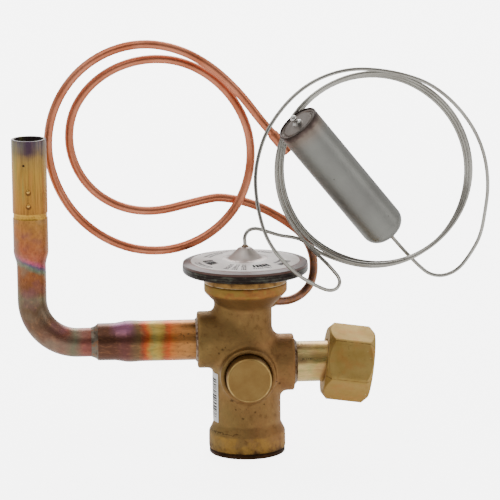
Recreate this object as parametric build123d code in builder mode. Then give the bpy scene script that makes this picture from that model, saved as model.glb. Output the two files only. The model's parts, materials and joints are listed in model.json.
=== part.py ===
from build123d import *
import os
from math import atan2, cos, degrees, pi, radians, sin, tan

# Expansion valve for refrigeration: forged brass body on a closed base, angled
# sweat outlet (elbow and coupling), union nut inlet, externally equalised,
# remote bulb element. Millimetres, +Z up along the valve axis, origin at the
# centre of the flat base, +X towards the union nut, -Y towards the check plug.

os.makedirs("parts", exist_ok=True)

# ---- body -----------------------------------------------------------------
GASKET_Z0, GASKET_Z1 = 2.0, 2.6     # joint between base plug flange and body
BASE_R = 21.0                       # base collar
BASE_TOP = 11.9
WAIST_R = 18.55                     # lower barrel
WAIST_Z0 = 16.8
SHOULDER_Z0, SHOULDER_Z1 = 57.0, 66.5
NECK_R = 14.2
WEB_R, WEB_X = 12.0, -5.4            # thickening of the neck above the outlet boss
FLANGE_R, FLANGE_Z0, FLANGE_Z1 = 22.7, 90.2, 95.4
SPIGOT_R, SPIGOT_TOP = 15.0, 98.0
CAVITY_R, CAVITY_Z0 = 12.6, 91.0    # space under the diaphragm
CHAMBER_R, CHAMBER_TOP = 11.4, 54.5 # inlet chamber under the seat
PLUG_BORE_R, PLUG_BORE_TOP = 12.05, 12.0
OUT_CHAMBER_R, OUT_CHAMBER_Z0, OUT_CHAMBER_Z1 = 6.9, 57.5, 70.5

BOSS_R = 15.6
INLET_Z, INLET_FACE = 49.6, 26.0
OUTLET_Z, OUTLET_FACE = 63.2, -26.7
SOCKET_R = 11.15                    # sweat socket for 22.2 mm tube
INLET_SOCKET_END, OUTLET_SOCKET_END = 18.0, -18.5
CHECK_Z, CHECK_BOSS_R, CHECK_FACE = 46.3, 15.2, -20.5
PLUG_THREAD_R = 10.4

# ---- valve train ----------------------------------------------------------
SEAT_R, SEAT_Z0, SEAT_Z1, ORIFICE_R = 6.0, 54.0, 60.0, 2.8
STROKE = 1.0
ROD_R, ROD_Y, ROD_HOLE_R = 1.0, 8.6, 1.06
ROD_Z0, ROD_Z1 = 52.0, 99.5
CARRIER_R = 10.2
SPRING_R, WIRE_R, SPRING_TURNS = 7.0, 0.85, 8
SPRING_Z0, SPRING_Z1 = 8.0, 49.5

# ---- element --------------------------------------------------------------
HEAD_R = 34.2
SLEEVE_R = 22.75
RIM_Z = 104.65                      # lower cup rim
DIAPHRAGM_T = 0.3
COVER_RIM_Z = RIM_Z + DIAPHRAGM_T
COVER_TOP = 106.8
CONE_R, CONE_TOP_R, CONE_TOP = 11.3, 2.4, 114.4

# ---- tubes ----------------------------------------------------------------
STUB_R, STUB_WALL = 11.11, 1.65     # 22.2 mm (7/8 in) tube
LEG_R, LEG_WALL = 7.94, 1.02        # 15.9 mm (5/8 in) tube
LEG_X, ELBOW_R = -116.2, 24.5
BELL_R, BELL_Z0, BELL_Z1, BELL_BORE = 9.5, 114.2, 133.2, 8.55
COUPLING_R, COUPLING_BORE = 9.525, 7.98
COUPLING_Z0, COUPLING_Z1 = 136.3, 176.4
EQ_R, EQ_WALL = 2.38, 0.8           # 4.8 mm (3/16 in) tube
CAP_R, CAP_WALL = 1.0, 0.45         # 2.0 mm capillary

# ---- union nut ------------------------------------------------------------
NUT_AF, NUT_L, NUT_TILT = 37.5, 25.4, 8.0
NUT_C = (55.6, 0.0, 48.2)
NUT_TURN = 15.0                     # a flat faces 15 degrees above -Y
NUT_LIP, NUT_LIP_R = 4.0, 11.95
NUT_THREAD_R, NUT_RELIEF_R, NUT_THREAD_START = 14.75, 15.05, 2.4

# ---- bulb -----------------------------------------------------------------
BULB_R, BULB_WALL = 12.0, 0.8
BULB_A = Vector(28.18, -11.0, 183.91)   # capped end
BULB_B = Vector(79.52, 9.5, 118.12)     # domed end, capillary side

# Centre lines of the two thin tubes: corners of their straight runs.
EQ_ROUTE = [
    (8.2, 3.7, 82.9), (14.6, 6.6, 82.3), (22.13, 9.88, 81.33), (27.41, 12.37, 82.06),
    (32.05, 15.33, 84), (35.8, 16.97, 87.51), (38.15, 19.03, 92.05), (39.06, 20.88, 98.22),
    (38.47, 22.08, 105.16), (35.96, 22.63, 111.61), (31.6, 23.05, 117.22), (25.5, 23, 122.27),
    (18.27, 23.01, 127.07), (10.8, 22.9, 131.24), (3.71, 22.81, 134.18), (-3.42, 22.61, 136.28),
    (-10.64, 22.3, 137.56), (-16.22, 22.01, 137.68), (-31.2, 21.65, 134.35), (-44.08, 21.37, 131.35),
    (-56.87, 21.09, 131.18), (-69.67, 20.81, 134.81), (-81.58, 20.52, 142.63), (-90.69, 20.24, 154.99),
    (-94.99, 19.96, 170.88), (-92.37, 19.67, 187.9), (-82.44, 19.39, 202.15), (-68.08, 19.11, 211.75),
    (-51.24, 18.83, 216.1), (-33.39, 18.54, 214.71), (-16.9, 18.26, 206.37), (-3.65, 17.98, 192.53),
    (4.46, 17.69, 174.15), (4.74, 17.41, 153.42), (-2.58, 17.13, 133.48), (-17.58, 16.84, 118.21),
    (-37.2, 16.56, 109.87), (-58.32, 16.28, 110.06), (-77.54, 15.99, 117.97), (-92.83, 15.71, 131.65),
    (-102.81, 15.43, 149.56), (-106.77, 15.14, 169.96), (-102.7, 14.86, 190.56), (-91.51, 14.58, 208.34),
    (-74.54, 14.29, 220.58), (-54.34, 14.01, 225.53), (-34.15, 13.73, 221.93), (-16.65, 13.44, 212.05),
    (-1.72, 13.11, 197.51), (9.92, 13.28, 181.81), (14.19, 13.6, 176.6), (24.79, 13.8, 163.68),
]
CAP_ROUTE = [
    (0, 0, 112.2), (0, 0, 116.6), (-0.35, 0.06, 119.05), (0.55, 0.47, 121.86),
    (2.77, 1.06, 123.77), (6.39, 1.94, 124.14), (11.74, 3.4, 122.12), (19.24, 4.77, 119.18),
    (25.56, 6.4, 118.02), (31.7, 8.09, 116), (36.97, 8.98, 111.51), (44.28, 9.24, 106.27),
    (65.25, 9.06, 99.19), (85.67, 8.93, 100.87), (103.44, 8.8, 110.34), (115.83, 8.67, 125.65),
    (121.8, 8.54, 143.94), (121.44, 8.41, 162.89), (114.6, 8.28, 180.4), (102.28, 8.15, 194.34),
    (86.23, 8.02, 203.65), (67.83, 7.89, 206.54), (49.53, 7.76, 202.5), (33.94, 7.63, 191.76),
    (23.9, 7.5, 175.54), (20.28, 7.37, 156.75), (23.16, 7.24, 137.6), (32.69, 7.11, 120.37),
    (48.24, 6.98, 108.26), (66.87, 6.85, 101.96), (86.65, 6.72, 102.91), (104.29, 6.59, 111.95),
    (116.94, 6.46, 127.05), (123.15, 6.33, 145.62), (122.28, 6.2, 165.08), (114.75, 6.07, 182.87),
    (101.69, 5.94, 196.85), (84.83, 5.81, 205.68), (65.95, 5.68, 207.68), (47.69, 5.55, 202.66),
    (32.24, 5.42, 191.43), (22.04, 5.29, 174.94), (18.4, 5.16, 155.58), (21.79, 5.03, 135.79),
    (32.26, 4.9, 118.27), (48.77, 4.77, 106.27), (68.28, 4.64, 101.07), (88.24, 4.51, 103.23),
    (105.53, 4.38, 113.17), (118.24, 4.25, 128.41), (124.51, 4.12, 147.39), (123.05, 3.99, 167.34),
    (114.81, 3.86, 185.39), (101, 3.73, 199.36), (83.33, 3.6, 207.62), (64.05, 3.47, 208.7),
    (45.86, 3.34, 202.75), (30.5, 3.21, 191.08), (20.14, 3.08, 174.26), (16.53, 2.95, 154.3),
    (20.45, 2.82, 133.89), (32.33, 3.02, 115.62), (44.17, 0.07, 104.52), (47.39, -3.23, 101.1),
    (50.38, -6.23, 97.85), (51.07, -8.97, 94.85), (48.87, -11.95, 92.21), (44.57, -15.27, 92.04),
    (39.02, -19.76, 95.02), (32.48, -24.63, 99.65), (27.59, -28.25, 103.42), (21.92, -31.73, 108.91),
    (16.62, -33.25, 115), (11.91, -32.73, 121.67), (8.52, -31.28, 128.94), (5.98, -29.23, 138.62),
    (4.59, -27, 148.65), (4.42, -24.77, 158.57), (6.24, -22.77, 168.36), (10.04, -21.03, 179.62),
    (16.56, -18.97, 189.71), (24.99, -17.23, 199.08), (35.3, -15.2, 206.45), (46.79, -13.2, 210.98),
    (59.33, -11.23, 212.96), (73.21, -8.97, 211.65), (86.35, -7, 208.57), (99.13, -5, 203.67),
    (110.16, -3, 195.53), (120.05, -1, 184.67), (127.51, 1, 172.24), (132.07, 3, 158.51),
    (133.61, 5, 143.4), (132.1, 7, 129.69), (129.89, 9.03, 115.49), (124.0, 10.88, 104.51),
    (117.81, 12.08, 96.2), (109.71, 12.63, 92.71), (102.42, 13.03, 93.76), (97.39, 13.25, 97.73),
    (90, 13.16, 105.42), (83.11, 11.53, 113.53), (78.92, 9.26, 118.89),
]


def radii(route):
    """One arc radius for each corner: 0.45 of the shorter run over tan(half turn)."""
    pts = [Vector(*p) for p in route]
    out = []
    for a, b, c in zip(pts, pts[1:], pts[2:]):
        turn = (b - a).get_angle(c - b)
        out.append(0.45 * min((b - a).length, (c - b).length) / tan(radians(turn) / 2))
    return out


def save(built, name):
    """Label one finished piece, write it out and print what it came to."""
    built.part.label = name
    export_step(built.part, "parts/" + name + ".step")
    print("%-20s %10.1f mm3  solids %d  sound %s"
          % (name, built.part.volume, len(built.solids()), built.part.is_valid))


def ring(r_in, r_out, z0, z1):
    """Plain turned ring or disc about +Z."""
    with BuildPart() as made:
        with BuildSketch(Plane.XY.offset(z0)):
            Circle(r_out)
            if r_in:
                Circle(r_in, mode=Mode.SUBTRACT)
        extrude(amount=z1 - z0)
    return made


# ===========================================================================
# Body
# ===========================================================================
with BuildPart() as valve_body:
    # barrel, neck and flange as one turned profile
    with BuildSketch(Plane.XZ):
        with BuildLine():
            Polyline(
                (0, GASKET_Z1), (BASE_R - 0.4, GASKET_Z1), (BASE_R, GASKET_Z1 + 0.4),
                (BASE_R, 10.3), (BASE_R - 0.45, 10.5), (BASE_R - 0.45, 10.9),
                (BASE_R, 11.1), (BASE_R, BASE_TOP), (WAIST_R, WAIST_Z0),
                (WAIST_R, SHOULDER_Z0), (NECK_R, SHOULDER_Z1), (NECK_R, 79.6),
            )
            Spline((NECK_R, 79.6), (14.55, 81.4), (15.7, 83.1),
                   tangents=[(0, 1), (0.72, 0.70)])
            Polyline((15.7, 83.1), (FLANGE_R - 0.5, FLANGE_Z0 - 0.5), (FLANGE_R, FLANGE_Z0 + 0.3),
                     (FLANGE_R, FLANGE_Z1 - 0.3), (FLANGE_R - 0.3, FLANGE_Z1),
                     (SPIGOT_R, FLANGE_Z1), (SPIGOT_R, SPIGOT_TOP),
                     (0, SPIGOT_TOP), (0, GASKET_Z1))
        make_face()
    revolve(axis=Axis.Z)
    # side bosses
    with BuildSketch(Plane.YZ):
        with Locations((0, INLET_Z)):
            Circle(BOSS_R)
    extrude(amount=INLET_FACE)
    with BuildSketch(Plane.YZ):
        with Locations((0, OUTLET_Z)):
            Circle(BOSS_R)
    extrude(amount=OUTLET_FACE)
    with Locations((0, 0, OUTLET_Z)):
        Sphere(BOSS_R)
    with BuildSketch(Plane.XY.offset(OUTLET_Z)):
        with Locations((WEB_X, 0)):
            Circle(WEB_R)
    extrude(amount=86.0 - OUTLET_Z)
    with BuildSketch(Plane.XZ):
        with Locations((0, CHECK_Z)):
            Circle(CHECK_BOSS_R)
    extrude(amount=-CHECK_FACE)
# blends where the bosses run into the barrel, each kept only if the solid stays sound
blended = 0
for at, size in (((-18.6, 0.0, 47.6), 2.0), ((14.8, 11.2, 38.7), 3.0), ((17.1, -7.1, 35.7), 3.0),
                 ((15.6, 0.0, 65.2), 3.0), ((10.8, 15.1, 53.6), 3.0), ((-17.4, 0.0, 78.8), 2.5)):
    corner = min(
        (e for e in valve_body.part.edges() if e.geom_type == GeomType.BSPLINE),
        key=lambda e: (e.center() - Vector(*at)).length,
    )
    if (corner.center() - Vector(*at)).length > 2.5:
        continue
    try:
        blend = valve_body.part.fillet(size, [corner])
    except Exception:
        continue
    if blend.is_valid and len(blend.solids()) == 1:
        valve_body.part = blend
        blended += 1
print("boss blends", blended)

with valve_body:
    # rounded boss mouths
    for face_axis, at in ((Axis.X, INLET_FACE), (Axis.X, OUTLET_FACE), (Axis.Y, CHECK_FACE)):
        rims = [
            e for e in valve_body.edges().filter_by(GeomType.CIRCLE)
            if abs((e.center().X if face_axis == Axis.X else e.center().Y) - at) < 0.01
            and e.radius > 14
        ]
        fillet(rims, radius=0.9)
    print("outside", valve_body.part.is_valid)
    # inlet chamber, base plug bore, web, outlet chamber, diaphragm cavity
    with BuildSketch(Plane.XZ):
        with BuildLine():
            Polyline((0, GASKET_Z1), (PLUG_BORE_R, GASKET_Z1), (PLUG_BORE_R, PLUG_BORE_TOP),
                     (CHAMBER_R, PLUG_BORE_TOP + 0.7), (CHAMBER_R, CHAMBER_TOP),
                     (0, CHAMBER_TOP), (0, GASKET_Z1))
        make_face()
    revolve(axis=Axis.Z, mode=Mode.SUBTRACT)
    with BuildSketch(Plane.XY.offset(CHAMBER_TOP)):
        Circle(SEAT_R)
    extrude(amount=OUT_CHAMBER_Z0 - CHAMBER_TOP, mode=Mode.SUBTRACT)
    with BuildSketch(Plane.XY.offset(OUT_CHAMBER_Z0)):
        Circle(OUT_CHAMBER_R)
    extrude(amount=OUT_CHAMBER_Z1 - OUT_CHAMBER_Z0, mode=Mode.SUBTRACT)
    with BuildSketch(Plane.XY.offset(CAVITY_Z0)):
        Circle(CAVITY_R)
    extrude(amount=SPIGOT_TOP - CAVITY_Z0, mode=Mode.SUBTRACT)
    # inlet: socket, passage, drilling into the chamber
    with BuildSketch(Plane.YZ.offset(INLET_SOCKET_END)):
        with Locations((0, INLET_Z)):
            Circle(SOCKET_R)
    extrude(amount=INLET_FACE - INLET_SOCKET_END, mode=Mode.SUBTRACT)
    with BuildSketch(Plane.YZ.offset(12.8)):
        with Locations((0, INLET_Z)):
            Circle(8.2)
    extrude(amount=INLET_SOCKET_END - 12.8, mode=Mode.SUBTRACT)
    with BuildSketch(Plane.YZ.offset(9.0)):
        with Locations((0, INLET_Z - 1.8)):
            Circle(6.3)
    extrude(amount=4.0, mode=Mode.SUBTRACT)
    # outlet: socket, passage, drilling into the outlet chamber
    with BuildSketch(Plane.YZ.offset(OUTLET_SOCKET_END)):
        with Locations((0, OUTLET_Z)):
            Circle(SOCKET_R)
    extrude(amount=OUTLET_FACE - OUTLET_SOCKET_END, mode=Mode.SUBTRACT)
    with BuildSketch(Plane.YZ.offset(-13.5)):
        with Locations((0, OUTLET_Z)):
            Circle(8.2)
    extrude(amount=OUTLET_SOCKET_END + 13.5, mode=Mode.SUBTRACT)
    with BuildSketch(Plane.YZ):
        with Locations((0, OUTLET_Z)):
            Circle(6.4)
    extrude(amount=-14.0, mode=Mode.SUBTRACT)
    # guide holes of the two push rods, with seal pockets at the top
    with BuildSketch(Plane.XY.offset(CHAMBER_TOP - 0.5)):
        with Locations((0, ROD_Y), (0, -ROD_Y)):
            Circle(ROD_HOLE_R)
    extrude(amount=CAVITY_Z0 - CHAMBER_TOP + 1.0, mode=Mode.SUBTRACT)
    with BuildSketch(Plane.XY.offset(88.8)):
        with Locations((0, ROD_Y), (0, -ROD_Y)):
            Circle(2.1)
    extrude(amount=CAVITY_Z0 - 88.8, mode=Mode.SUBTRACT)
    # check port: plug counterbore, thread bore, check seat
    with BuildSketch(Plane.XZ.offset(-CHECK_FACE)):
        with Locations((0, CHECK_Z)):
            Circle(12.75)
    extrude(amount=-1.5, mode=Mode.SUBTRACT)
    with BuildSketch(Plane.XZ.offset(-CHECK_FACE - 1.5)):
        with Locations((0, CHECK_Z)):
            Circle(PLUG_THREAD_R + 0.1)
    extrude(amount=-4.0, mode=Mode.SUBTRACT)
    with BuildSketch(Plane.XZ.offset(15.0)):
        with Locations((0, CHECK_Z)):
            Circle(5.0)
    extrude(amount=-8.0, mode=Mode.SUBTRACT)
    # bypass drilling from the check port to the outlet passage
    bypass_from, bypass_to = Vector(-6.5, -15.9, 52.6), Vector(-14.0, -2.0, 61.5)
    with BuildSketch(Plane(origin=bypass_from, z_dir=bypass_to - bypass_from)):
        Circle(1.7)
    extrude(amount=(bypass_to - bypass_from).length, mode=Mode.SUBTRACT)
    # equaliser port: tube socket, passage, riser into the diaphragm cavity
    eq_from, eq_dir = Vector(*EQ_ROUTE[0]), (Vector(*EQ_ROUTE[1]) - Vector(*EQ_ROUTE[0])).normalized()
    with BuildSketch(Plane(origin=eq_from, z_dir=eq_dir)):
        Circle(EQ_R + 0.03)
    extrude(amount=16.0, mode=Mode.SUBTRACT)
    with BuildSketch(Plane(origin=eq_from - eq_dir * 4.2, z_dir=eq_dir)):
        Circle(1.5)
    extrude(amount=4.3, mode=Mode.SUBTRACT)
    with BuildSketch(Plane.XY.offset(83.0)):
        with Locations(((eq_from - eq_dir * 2.9).X, (eq_from - eq_dir * 2.9).Y)):
            Circle(1.2)
    extrude(amount=CAVITY_Z0 - 83.0 + 0.5, mode=Mode.SUBTRACT)
save(valve_body, "valve_body")

# ===========================================================================
# Base plug and its joint
# ===========================================================================
with BuildPart() as bottom_plug:
    with BuildSketch(Plane.XZ):
        with BuildLine():
            Polyline((0, 0), (20.2, 0), (20.7, 0.5), (20.7, GASKET_Z0), (12.0, GASKET_Z0),
                     (12.0, 10.4), (11.4, 11.0), (9.3, 11.0), (9.3, 5.0), (0, 5.0), (0, 0))
        make_face()
    revolve(axis=Axis.Z)
save(bottom_plug, "bottom_plug")

bottom_gasket = ring(13.0, 20.4, GASKET_Z0, GASKET_Z1)
save(bottom_gasket, "bottom_gasket")

# ===========================================================================
# Superheat spring, carrier, pin, seat, rods
# ===========================================================================
with BuildPart() as spring_seat:
    with BuildSketch(Plane.XZ):
        with BuildLine():
            Polyline((0, 5.0), (9.1, 5.0), (9.1, SPRING_Z0), (5.2, SPRING_Z0), (4.8, 10.5),
                     (0, 10.5), (0, 5.0))
        make_face()
    revolve(axis=Axis.Z)
save(spring_seat, "spring_seat")

coil_rise = SPRING_Z1 - SPRING_Z0 - 2 * WIRE_R
with BuildPart() as superheat_spring:
    with BuildLine():
        coil = Helix(pitch=coil_rise / SPRING_TURNS, height=coil_rise, radius=SPRING_R,
                     center=(0, 0, SPRING_Z0 + WIRE_R))
    with BuildSketch(Plane(origin=coil @ 0, z_dir=coil % 0)):
        Circle(WIRE_R)
    sweep(path=coil, is_frenet=True)
save(superheat_spring, "superheat_spring")
print("spring section x length", pi * WIRE_R ** 2 * coil.length)

with BuildPart() as pin_carrier:
    with BuildSketch(Plane.XY.offset(SPRING_Z1)):
        Circle(CARRIER_R)
        with PolarLocations(6.6, 4, start_angle=45):
            Circle(1.9, mode=Mode.SUBTRACT)
    extrude(amount=ROD_Z0 - SPRING_Z1)
    with BuildSketch(Plane.XY.offset(45.0)):
        Circle(4.0)
    extrude(amount=SPRING_Z1 - 45.0)
save(pin_carrier, "pin_carrier")

with BuildPart() as valve_pin:
    with BuildSketch(Plane.XZ):
        with BuildLine():
            Polyline((0, ROD_Z0), (4.0, ROD_Z0), (4.0, 53.7), (3.75, 53.9), (2.7, 54.95),
                     (1.5, 58.5), (0, 58.5), (0, ROD_Z0))
        make_face()
    revolve(axis=Axis.Z)
save(valve_pin, "valve_pin")

with BuildPart() as seat_insert:
    with BuildSketch(Plane.XZ):
        with BuildLine():
            Polyline((3.8, SEAT_Z0), (7.4, SEAT_Z0), (7.4, CHAMBER_TOP), (SEAT_R, CHAMBER_TOP),
                     (SEAT_R, SEAT_Z1 - 0.4), (SEAT_R - 0.4, SEAT_Z1), (ORIFICE_R, SEAT_Z1),
                     (ORIFICE_R, SEAT_Z0 + 1.0), (3.8, SEAT_Z0))
        make_face()
    revolve(axis=Axis.Z)
save(seat_insert, "seat_insert")

for rod_name, rod_y in (("push_rod_front", -ROD_Y), ("push_rod_rear", ROD_Y)):
    with BuildPart() as push_rod:
        with BuildSketch(Plane.XY.offset(ROD_Z0)):
            with Locations((0, rod_y)):
                Circle(ROD_R)
        extrude(amount=ROD_Z1 - ROD_Z0)
    save(push_rod, rod_name)

for seal_name, rod_y in (("rod_seal_front", -ROD_Y), ("rod_seal_rear", ROD_Y)):
    with BuildPart() as rod_seal:
        with BuildSketch(Plane.XY.offset(89.0)):
            with Locations((0, rod_y)):
                Circle(2.08)
                Circle(ROD_HOLE_R, mode=Mode.SUBTRACT)
        extrude(amount=1.9)
    save(rod_seal, seal_name)

# ===========================================================================
# Element: buffer plate, lower cup, diaphragm, cover, label, capillary joint
# ===========================================================================
with BuildPart() as buffer_plate:
    with BuildSketch(Plane.XZ):
        with BuildLine():
            Polyline((0, ROD_Z1), (10.0, ROD_Z1), (10.0, 102.6), (18.4, 102.6), (19.0, 103.2),
                     (19.0, 104.2), (18.6, 104.6), (0, 104.6), (0, ROD_Z1))
        make_face()
    revolve(axis=Axis.Z)
save(buffer_plate, "buffer_plate")

with BuildPart() as head_lower_cup:
    with BuildSketch(Plane.XZ):
        with BuildLine():
            Polyline((SPIGOT_R + 0.05, FLANGE_Z1), (SLEEVE_R, FLANGE_Z1), (SLEEVE_R, 98.9),
                     (23.2, 99.4), (30.2, 99.9))
            Spline((30.2, 99.9), (33.0, 100.6), (HEAD_R, 102.3), tangents=[(1, 0.07), (0, 1)])
            Polyline((HEAD_R, 102.3), (HEAD_R, RIM_Z), (31.9, RIM_Z), (31.9, 102.7),
                     (31.2, 101.7), (29.8, 101.2), (21.0, 100.7), (20.5, 100.2),
                     (20.5, 97.2), (SPIGOT_R + 0.05, 97.2), (SPIGOT_R + 0.05, FLANGE_Z1))
        make_face()
    revolve(axis=Axis.Z)
save(head_lower_cup, "head_lower_cup")

with BuildPart() as diaphragm:
    with BuildSketch(Plane.XZ):
        with BuildLine():
            wave = [(19.5, 0.0), (21.0, 0.3), (23.0, -0.3), (25.0, 0.3), (27.0, -0.3),
                    (29.0, 0.2), (30.8, 0.0)]
            Line((0, RIM_Z), (19.5, RIM_Z))
            Spline(*[(r, RIM_Z + d) for r, d in wave], tangents=[(1, 0), (1, 0)])
            Polyline((30.8, RIM_Z), (HEAD_R - 0.2, RIM_Z), (HEAD_R - 0.2, COVER_RIM_Z),
                     (30.8, COVER_RIM_Z))
            Spline(*[(r, COVER_RIM_Z + d) for r, d in reversed(wave)],
                   tangents=[(-1, 0), (-1, 0)])
            Polyline((19.5, COVER_RIM_Z), (0, COVER_RIM_Z), (0, RIM_Z))
        make_face()
    revolve(axis=Axis.Z)
save(diaphragm, "diaphragm")

with BuildPart() as head_upper_cover:
    with BuildSketch(Plane.XZ):
        with BuildLine():
            Polyline((CAP_R + 0.03, CONE_TOP), (CONE_TOP_R, CONE_TOP))
            Spline((CONE_TOP_R, CONE_TOP), (4.7, 112.9), (6.7, 110.9), (8.5, 109.4), (CONE_R, 108.1),
                   tangents=[(1, -0.25), (1, -0.12)])
            Polyline((CONE_R, 108.1), (27.5, COVER_TOP + 0.1), (30.2, COVER_TOP), (34.0, 106.0),
                     (34.0, COVER_RIM_Z), (31.2, COVER_RIM_Z), (30.4, 105.6), (27.4, 105.8),
                     (11.0, 106.9), (8.0, 108.3), (5.6, 110.3), (3.6, 112.3), (2.2, 113.1),
                     (CAP_R + 0.03, 113.1), (CAP_R + 0.03, CONE_TOP))
        make_face()
    revolve(axis=Axis.Z)
save(head_upper_cover, "head_upper_cover")

with BuildPart() as head_label:
    with BuildSketch(Plane.XZ):
        with BuildLine():
            Polyline((12.4, 108.02), (27.5, COVER_TOP + 0.1), (29.6, COVER_TOP + 0.022),
                     (29.6, COVER_TOP + 0.14), (27.5, COVER_TOP + 0.22), (12.4, 108.14),
                     (12.4, 108.02))
        make_face()
    revolve(axis=Axis.Z)
save(head_label, "head_label")

with BuildPart() as head_ferrule:
    with BuildSketch(Plane.XZ):
        with BuildLine():
            Polyline((CAP_R + 0.03, CONE_TOP), (1.9, CONE_TOP), (1.95, CONE_TOP + 0.35),
                     (1.6, CONE_TOP + 0.7), (1.35, CONE_TOP + 1.1), (CAP_R + 0.03, CONE_TOP + 1.1),
                     (CAP_R + 0.03, CONE_TOP))
        make_face()
    revolve(axis=Axis.Z)
save(head_ferrule, "head_ferrule")

# ===========================================================================
# Check port: plug, gasket, disc
# ===========================================================================
CHECK_LINE = Axis((0, 0, CHECK_Z), (0, -1, 0))


def turned_at_check(profile):
    """Turn a profile given as (radius, distance towards -Y) about the check port axis."""
    with BuildPart() as made:
        with BuildSketch(Plane(origin=(0, 0, CHECK_Z), x_dir=(1, 0, 0), z_dir=(0, 0, 1))):
            with BuildLine():
                Polyline(*[(r, -y) for r, y in profile + profile[:1]])
            make_face()
        revolve(axis=CHECK_LINE)
    return made


front_plug = turned_at_check([
    (0, 29.0), (11.2, 29.0), (12.0, 28.4), (12.3, 27.6), (12.3, 19.8), (PLUG_THREAD_R, 19.8),
    (PLUG_THREAD_R, 15.8), (PLUG_THREAD_R - 0.4, 15.4), (8.5, 15.4), (8.5, 19.8), (1.55, 19.8),
    (1.55, 26.5), (0, 26.5)])
save(front_plug, "front_plug")

front_gasket = turned_at_check([(10.5, 19.0), (10.5, 19.8), (11.9, 19.8), (11.9, 19.0)])
save(front_gasket, "front_gasket")

check_disc = turned_at_check([
    (0, 15.05), (7.0, 15.05), (7.0, 17.0), (2.4, 17.0), (1.5, 17.5), (1.5, 24.0), (0, 24.0)])
save(check_disc, "check_disc")


# ===========================================================================
# Inlet tube, union tail, union nut
# ===========================================================================
def turned_along_x(height, profile):
    """Turn a profile given as (x, radius) about the line y = 0, z = height."""
    with BuildPart() as made:
        with BuildSketch(Plane.XZ):
            with BuildLine():
                Polyline(*[(x, height + r) for x, r in profile + profile[:1]])
            make_face()
        revolve(axis=Axis((0, 0, height), (1, 0, 0)))
    return made


bore_r = STUB_R - STUB_WALL
inlet_stub = turned_along_x(INLET_Z, [
    (18.0, bore_r), (18.0, STUB_R), (52.0, STUB_R), (52.0, bore_r)])
save(inlet_stub, "inlet_stub")

inlet_braze_ring = turned_along_x(INLET_Z, [
    (26.0, STUB_R + 0.02), (26.0, 12.9), (26.5, 12.5), (27.0, 11.9), (27.5, STUB_R + 0.3),
    (27.6, STUB_R + 0.02)])
save(inlet_braze_ring, "inlet_braze_ring")

union_tail = turned_along_x(INLET_Z, [
    (49.5, STUB_R + 0.02), (49.5, 12.9), (53.0, 12.9), (53.4, 12.0), (56.0, 10.8),
    (56.0, 9.5), (52.0, 9.5), (52.0, STUB_R + 0.02)])
save(union_tail, "union_tail")

nut_c = Vector(*NUT_C)
nut_a = Vector(cos(radians(NUT_TILT)), 0, -sin(radians(NUT_TILT)))
nut_u = Vector(sin(radians(NUT_TILT)), 0, cos(radians(NUT_TILT)))
nut_flat = Vector(0, -1, 0) * cos(radians(NUT_TURN)) + nut_u * sin(radians(NUT_TURN))
half = NUT_L / 2
with BuildPart() as union_nut:
    with BuildSketch(Plane(origin=nut_c - nut_a * half, x_dir=nut_flat, z_dir=nut_a)) as hexagon:
        reach = NUT_AF / 2 / cos(pi / 6)
        with BuildLine():
            Polyline(*[(reach * cos(radians(30 + 60 * k)), reach * sin(radians(30 + 60 * k)))
                       for k in range(6)], close=True)
        make_face()
        fillet(hexagon.vertices(), radius=3.8)
    extrude(amount=NUT_L)
    with BuildSketch(Plane(origin=nut_c, x_dir=nut_a, z_dir=(0, -1, 0))):
        with BuildLine():
            Polyline((-half, 0), (-half, 18.0), (-half + 3.2, 21.2), (half - 3.2, 21.2),
                     (half, 18.0), (half, 0), (-half, 0))
        make_face()
    revolve(axis=Axis(nut_c, nut_a), mode=Mode.INTERSECT)
    with BuildSketch(Plane(origin=nut_c, x_dir=nut_a, z_dir=(0, -1, 0))):
        with BuildLine():
            Polyline((-half - 1, 0), (-half - 1, NUT_LIP_R), (-half + NUT_LIP, NUT_LIP_R),
                     (-half + NUT_LIP, NUT_RELIEF_R), (NUT_THREAD_START, NUT_RELIEF_R),
                     (NUT_THREAD_START, NUT_THREAD_R), (half - 1.3, NUT_THREAD_R),
                     (half, NUT_THREAD_R + 1.3), (half + 1, NUT_THREAD_R + 1.3),
                     (half + 1, 0), (-half - 1, 0))
        make_face()
    revolve(axis=Axis(nut_c, nut_a), mode=Mode.SUBTRACT)
save(union_nut, "union_nut")

# ===========================================================================
# Outlet tube, elbow, coupling
# ===========================================================================
outlet_stub = turned_along_x(OUTLET_Z, [
    (-18.6, bore_r), (-18.6, STUB_R), (-58.0, STUB_R), (-60.5, 11.3), (-63.0, 11.4),
    (-65.5, 11.3), (-68.5, 10.75), (-71.5, 10.25), (-74.0, 10.2), (-81.0, 10.15),
    (-81.0, LEG_R + 0.04), (-72.0, LEG_R + 0.04), (-66.0, bore_r)])
save(outlet_stub, "outlet_stub")

outlet_braze_ring = turned_along_x(OUTLET_Z, [
    (-26.7, STUB_R + 0.02), (-26.7, 12.4), (-27.1, 12.1), (-27.5, 11.7), (-27.8, STUB_R + 0.3),
    (-27.9, STUB_R + 0.02)])
save(outlet_braze_ring, "outlet_braze_ring")

reducer_braze = turned_along_x(OUTLET_Z, [
    (-81.0, LEG_R + 0.02), (-81.0, 10.1), (-81.8, 9.3), (-83.0, 8.6), (-84.6, 8.1),
    (-84.6, LEG_R + 0.02)])
save(reducer_braze, "reducer_braze")

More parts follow.
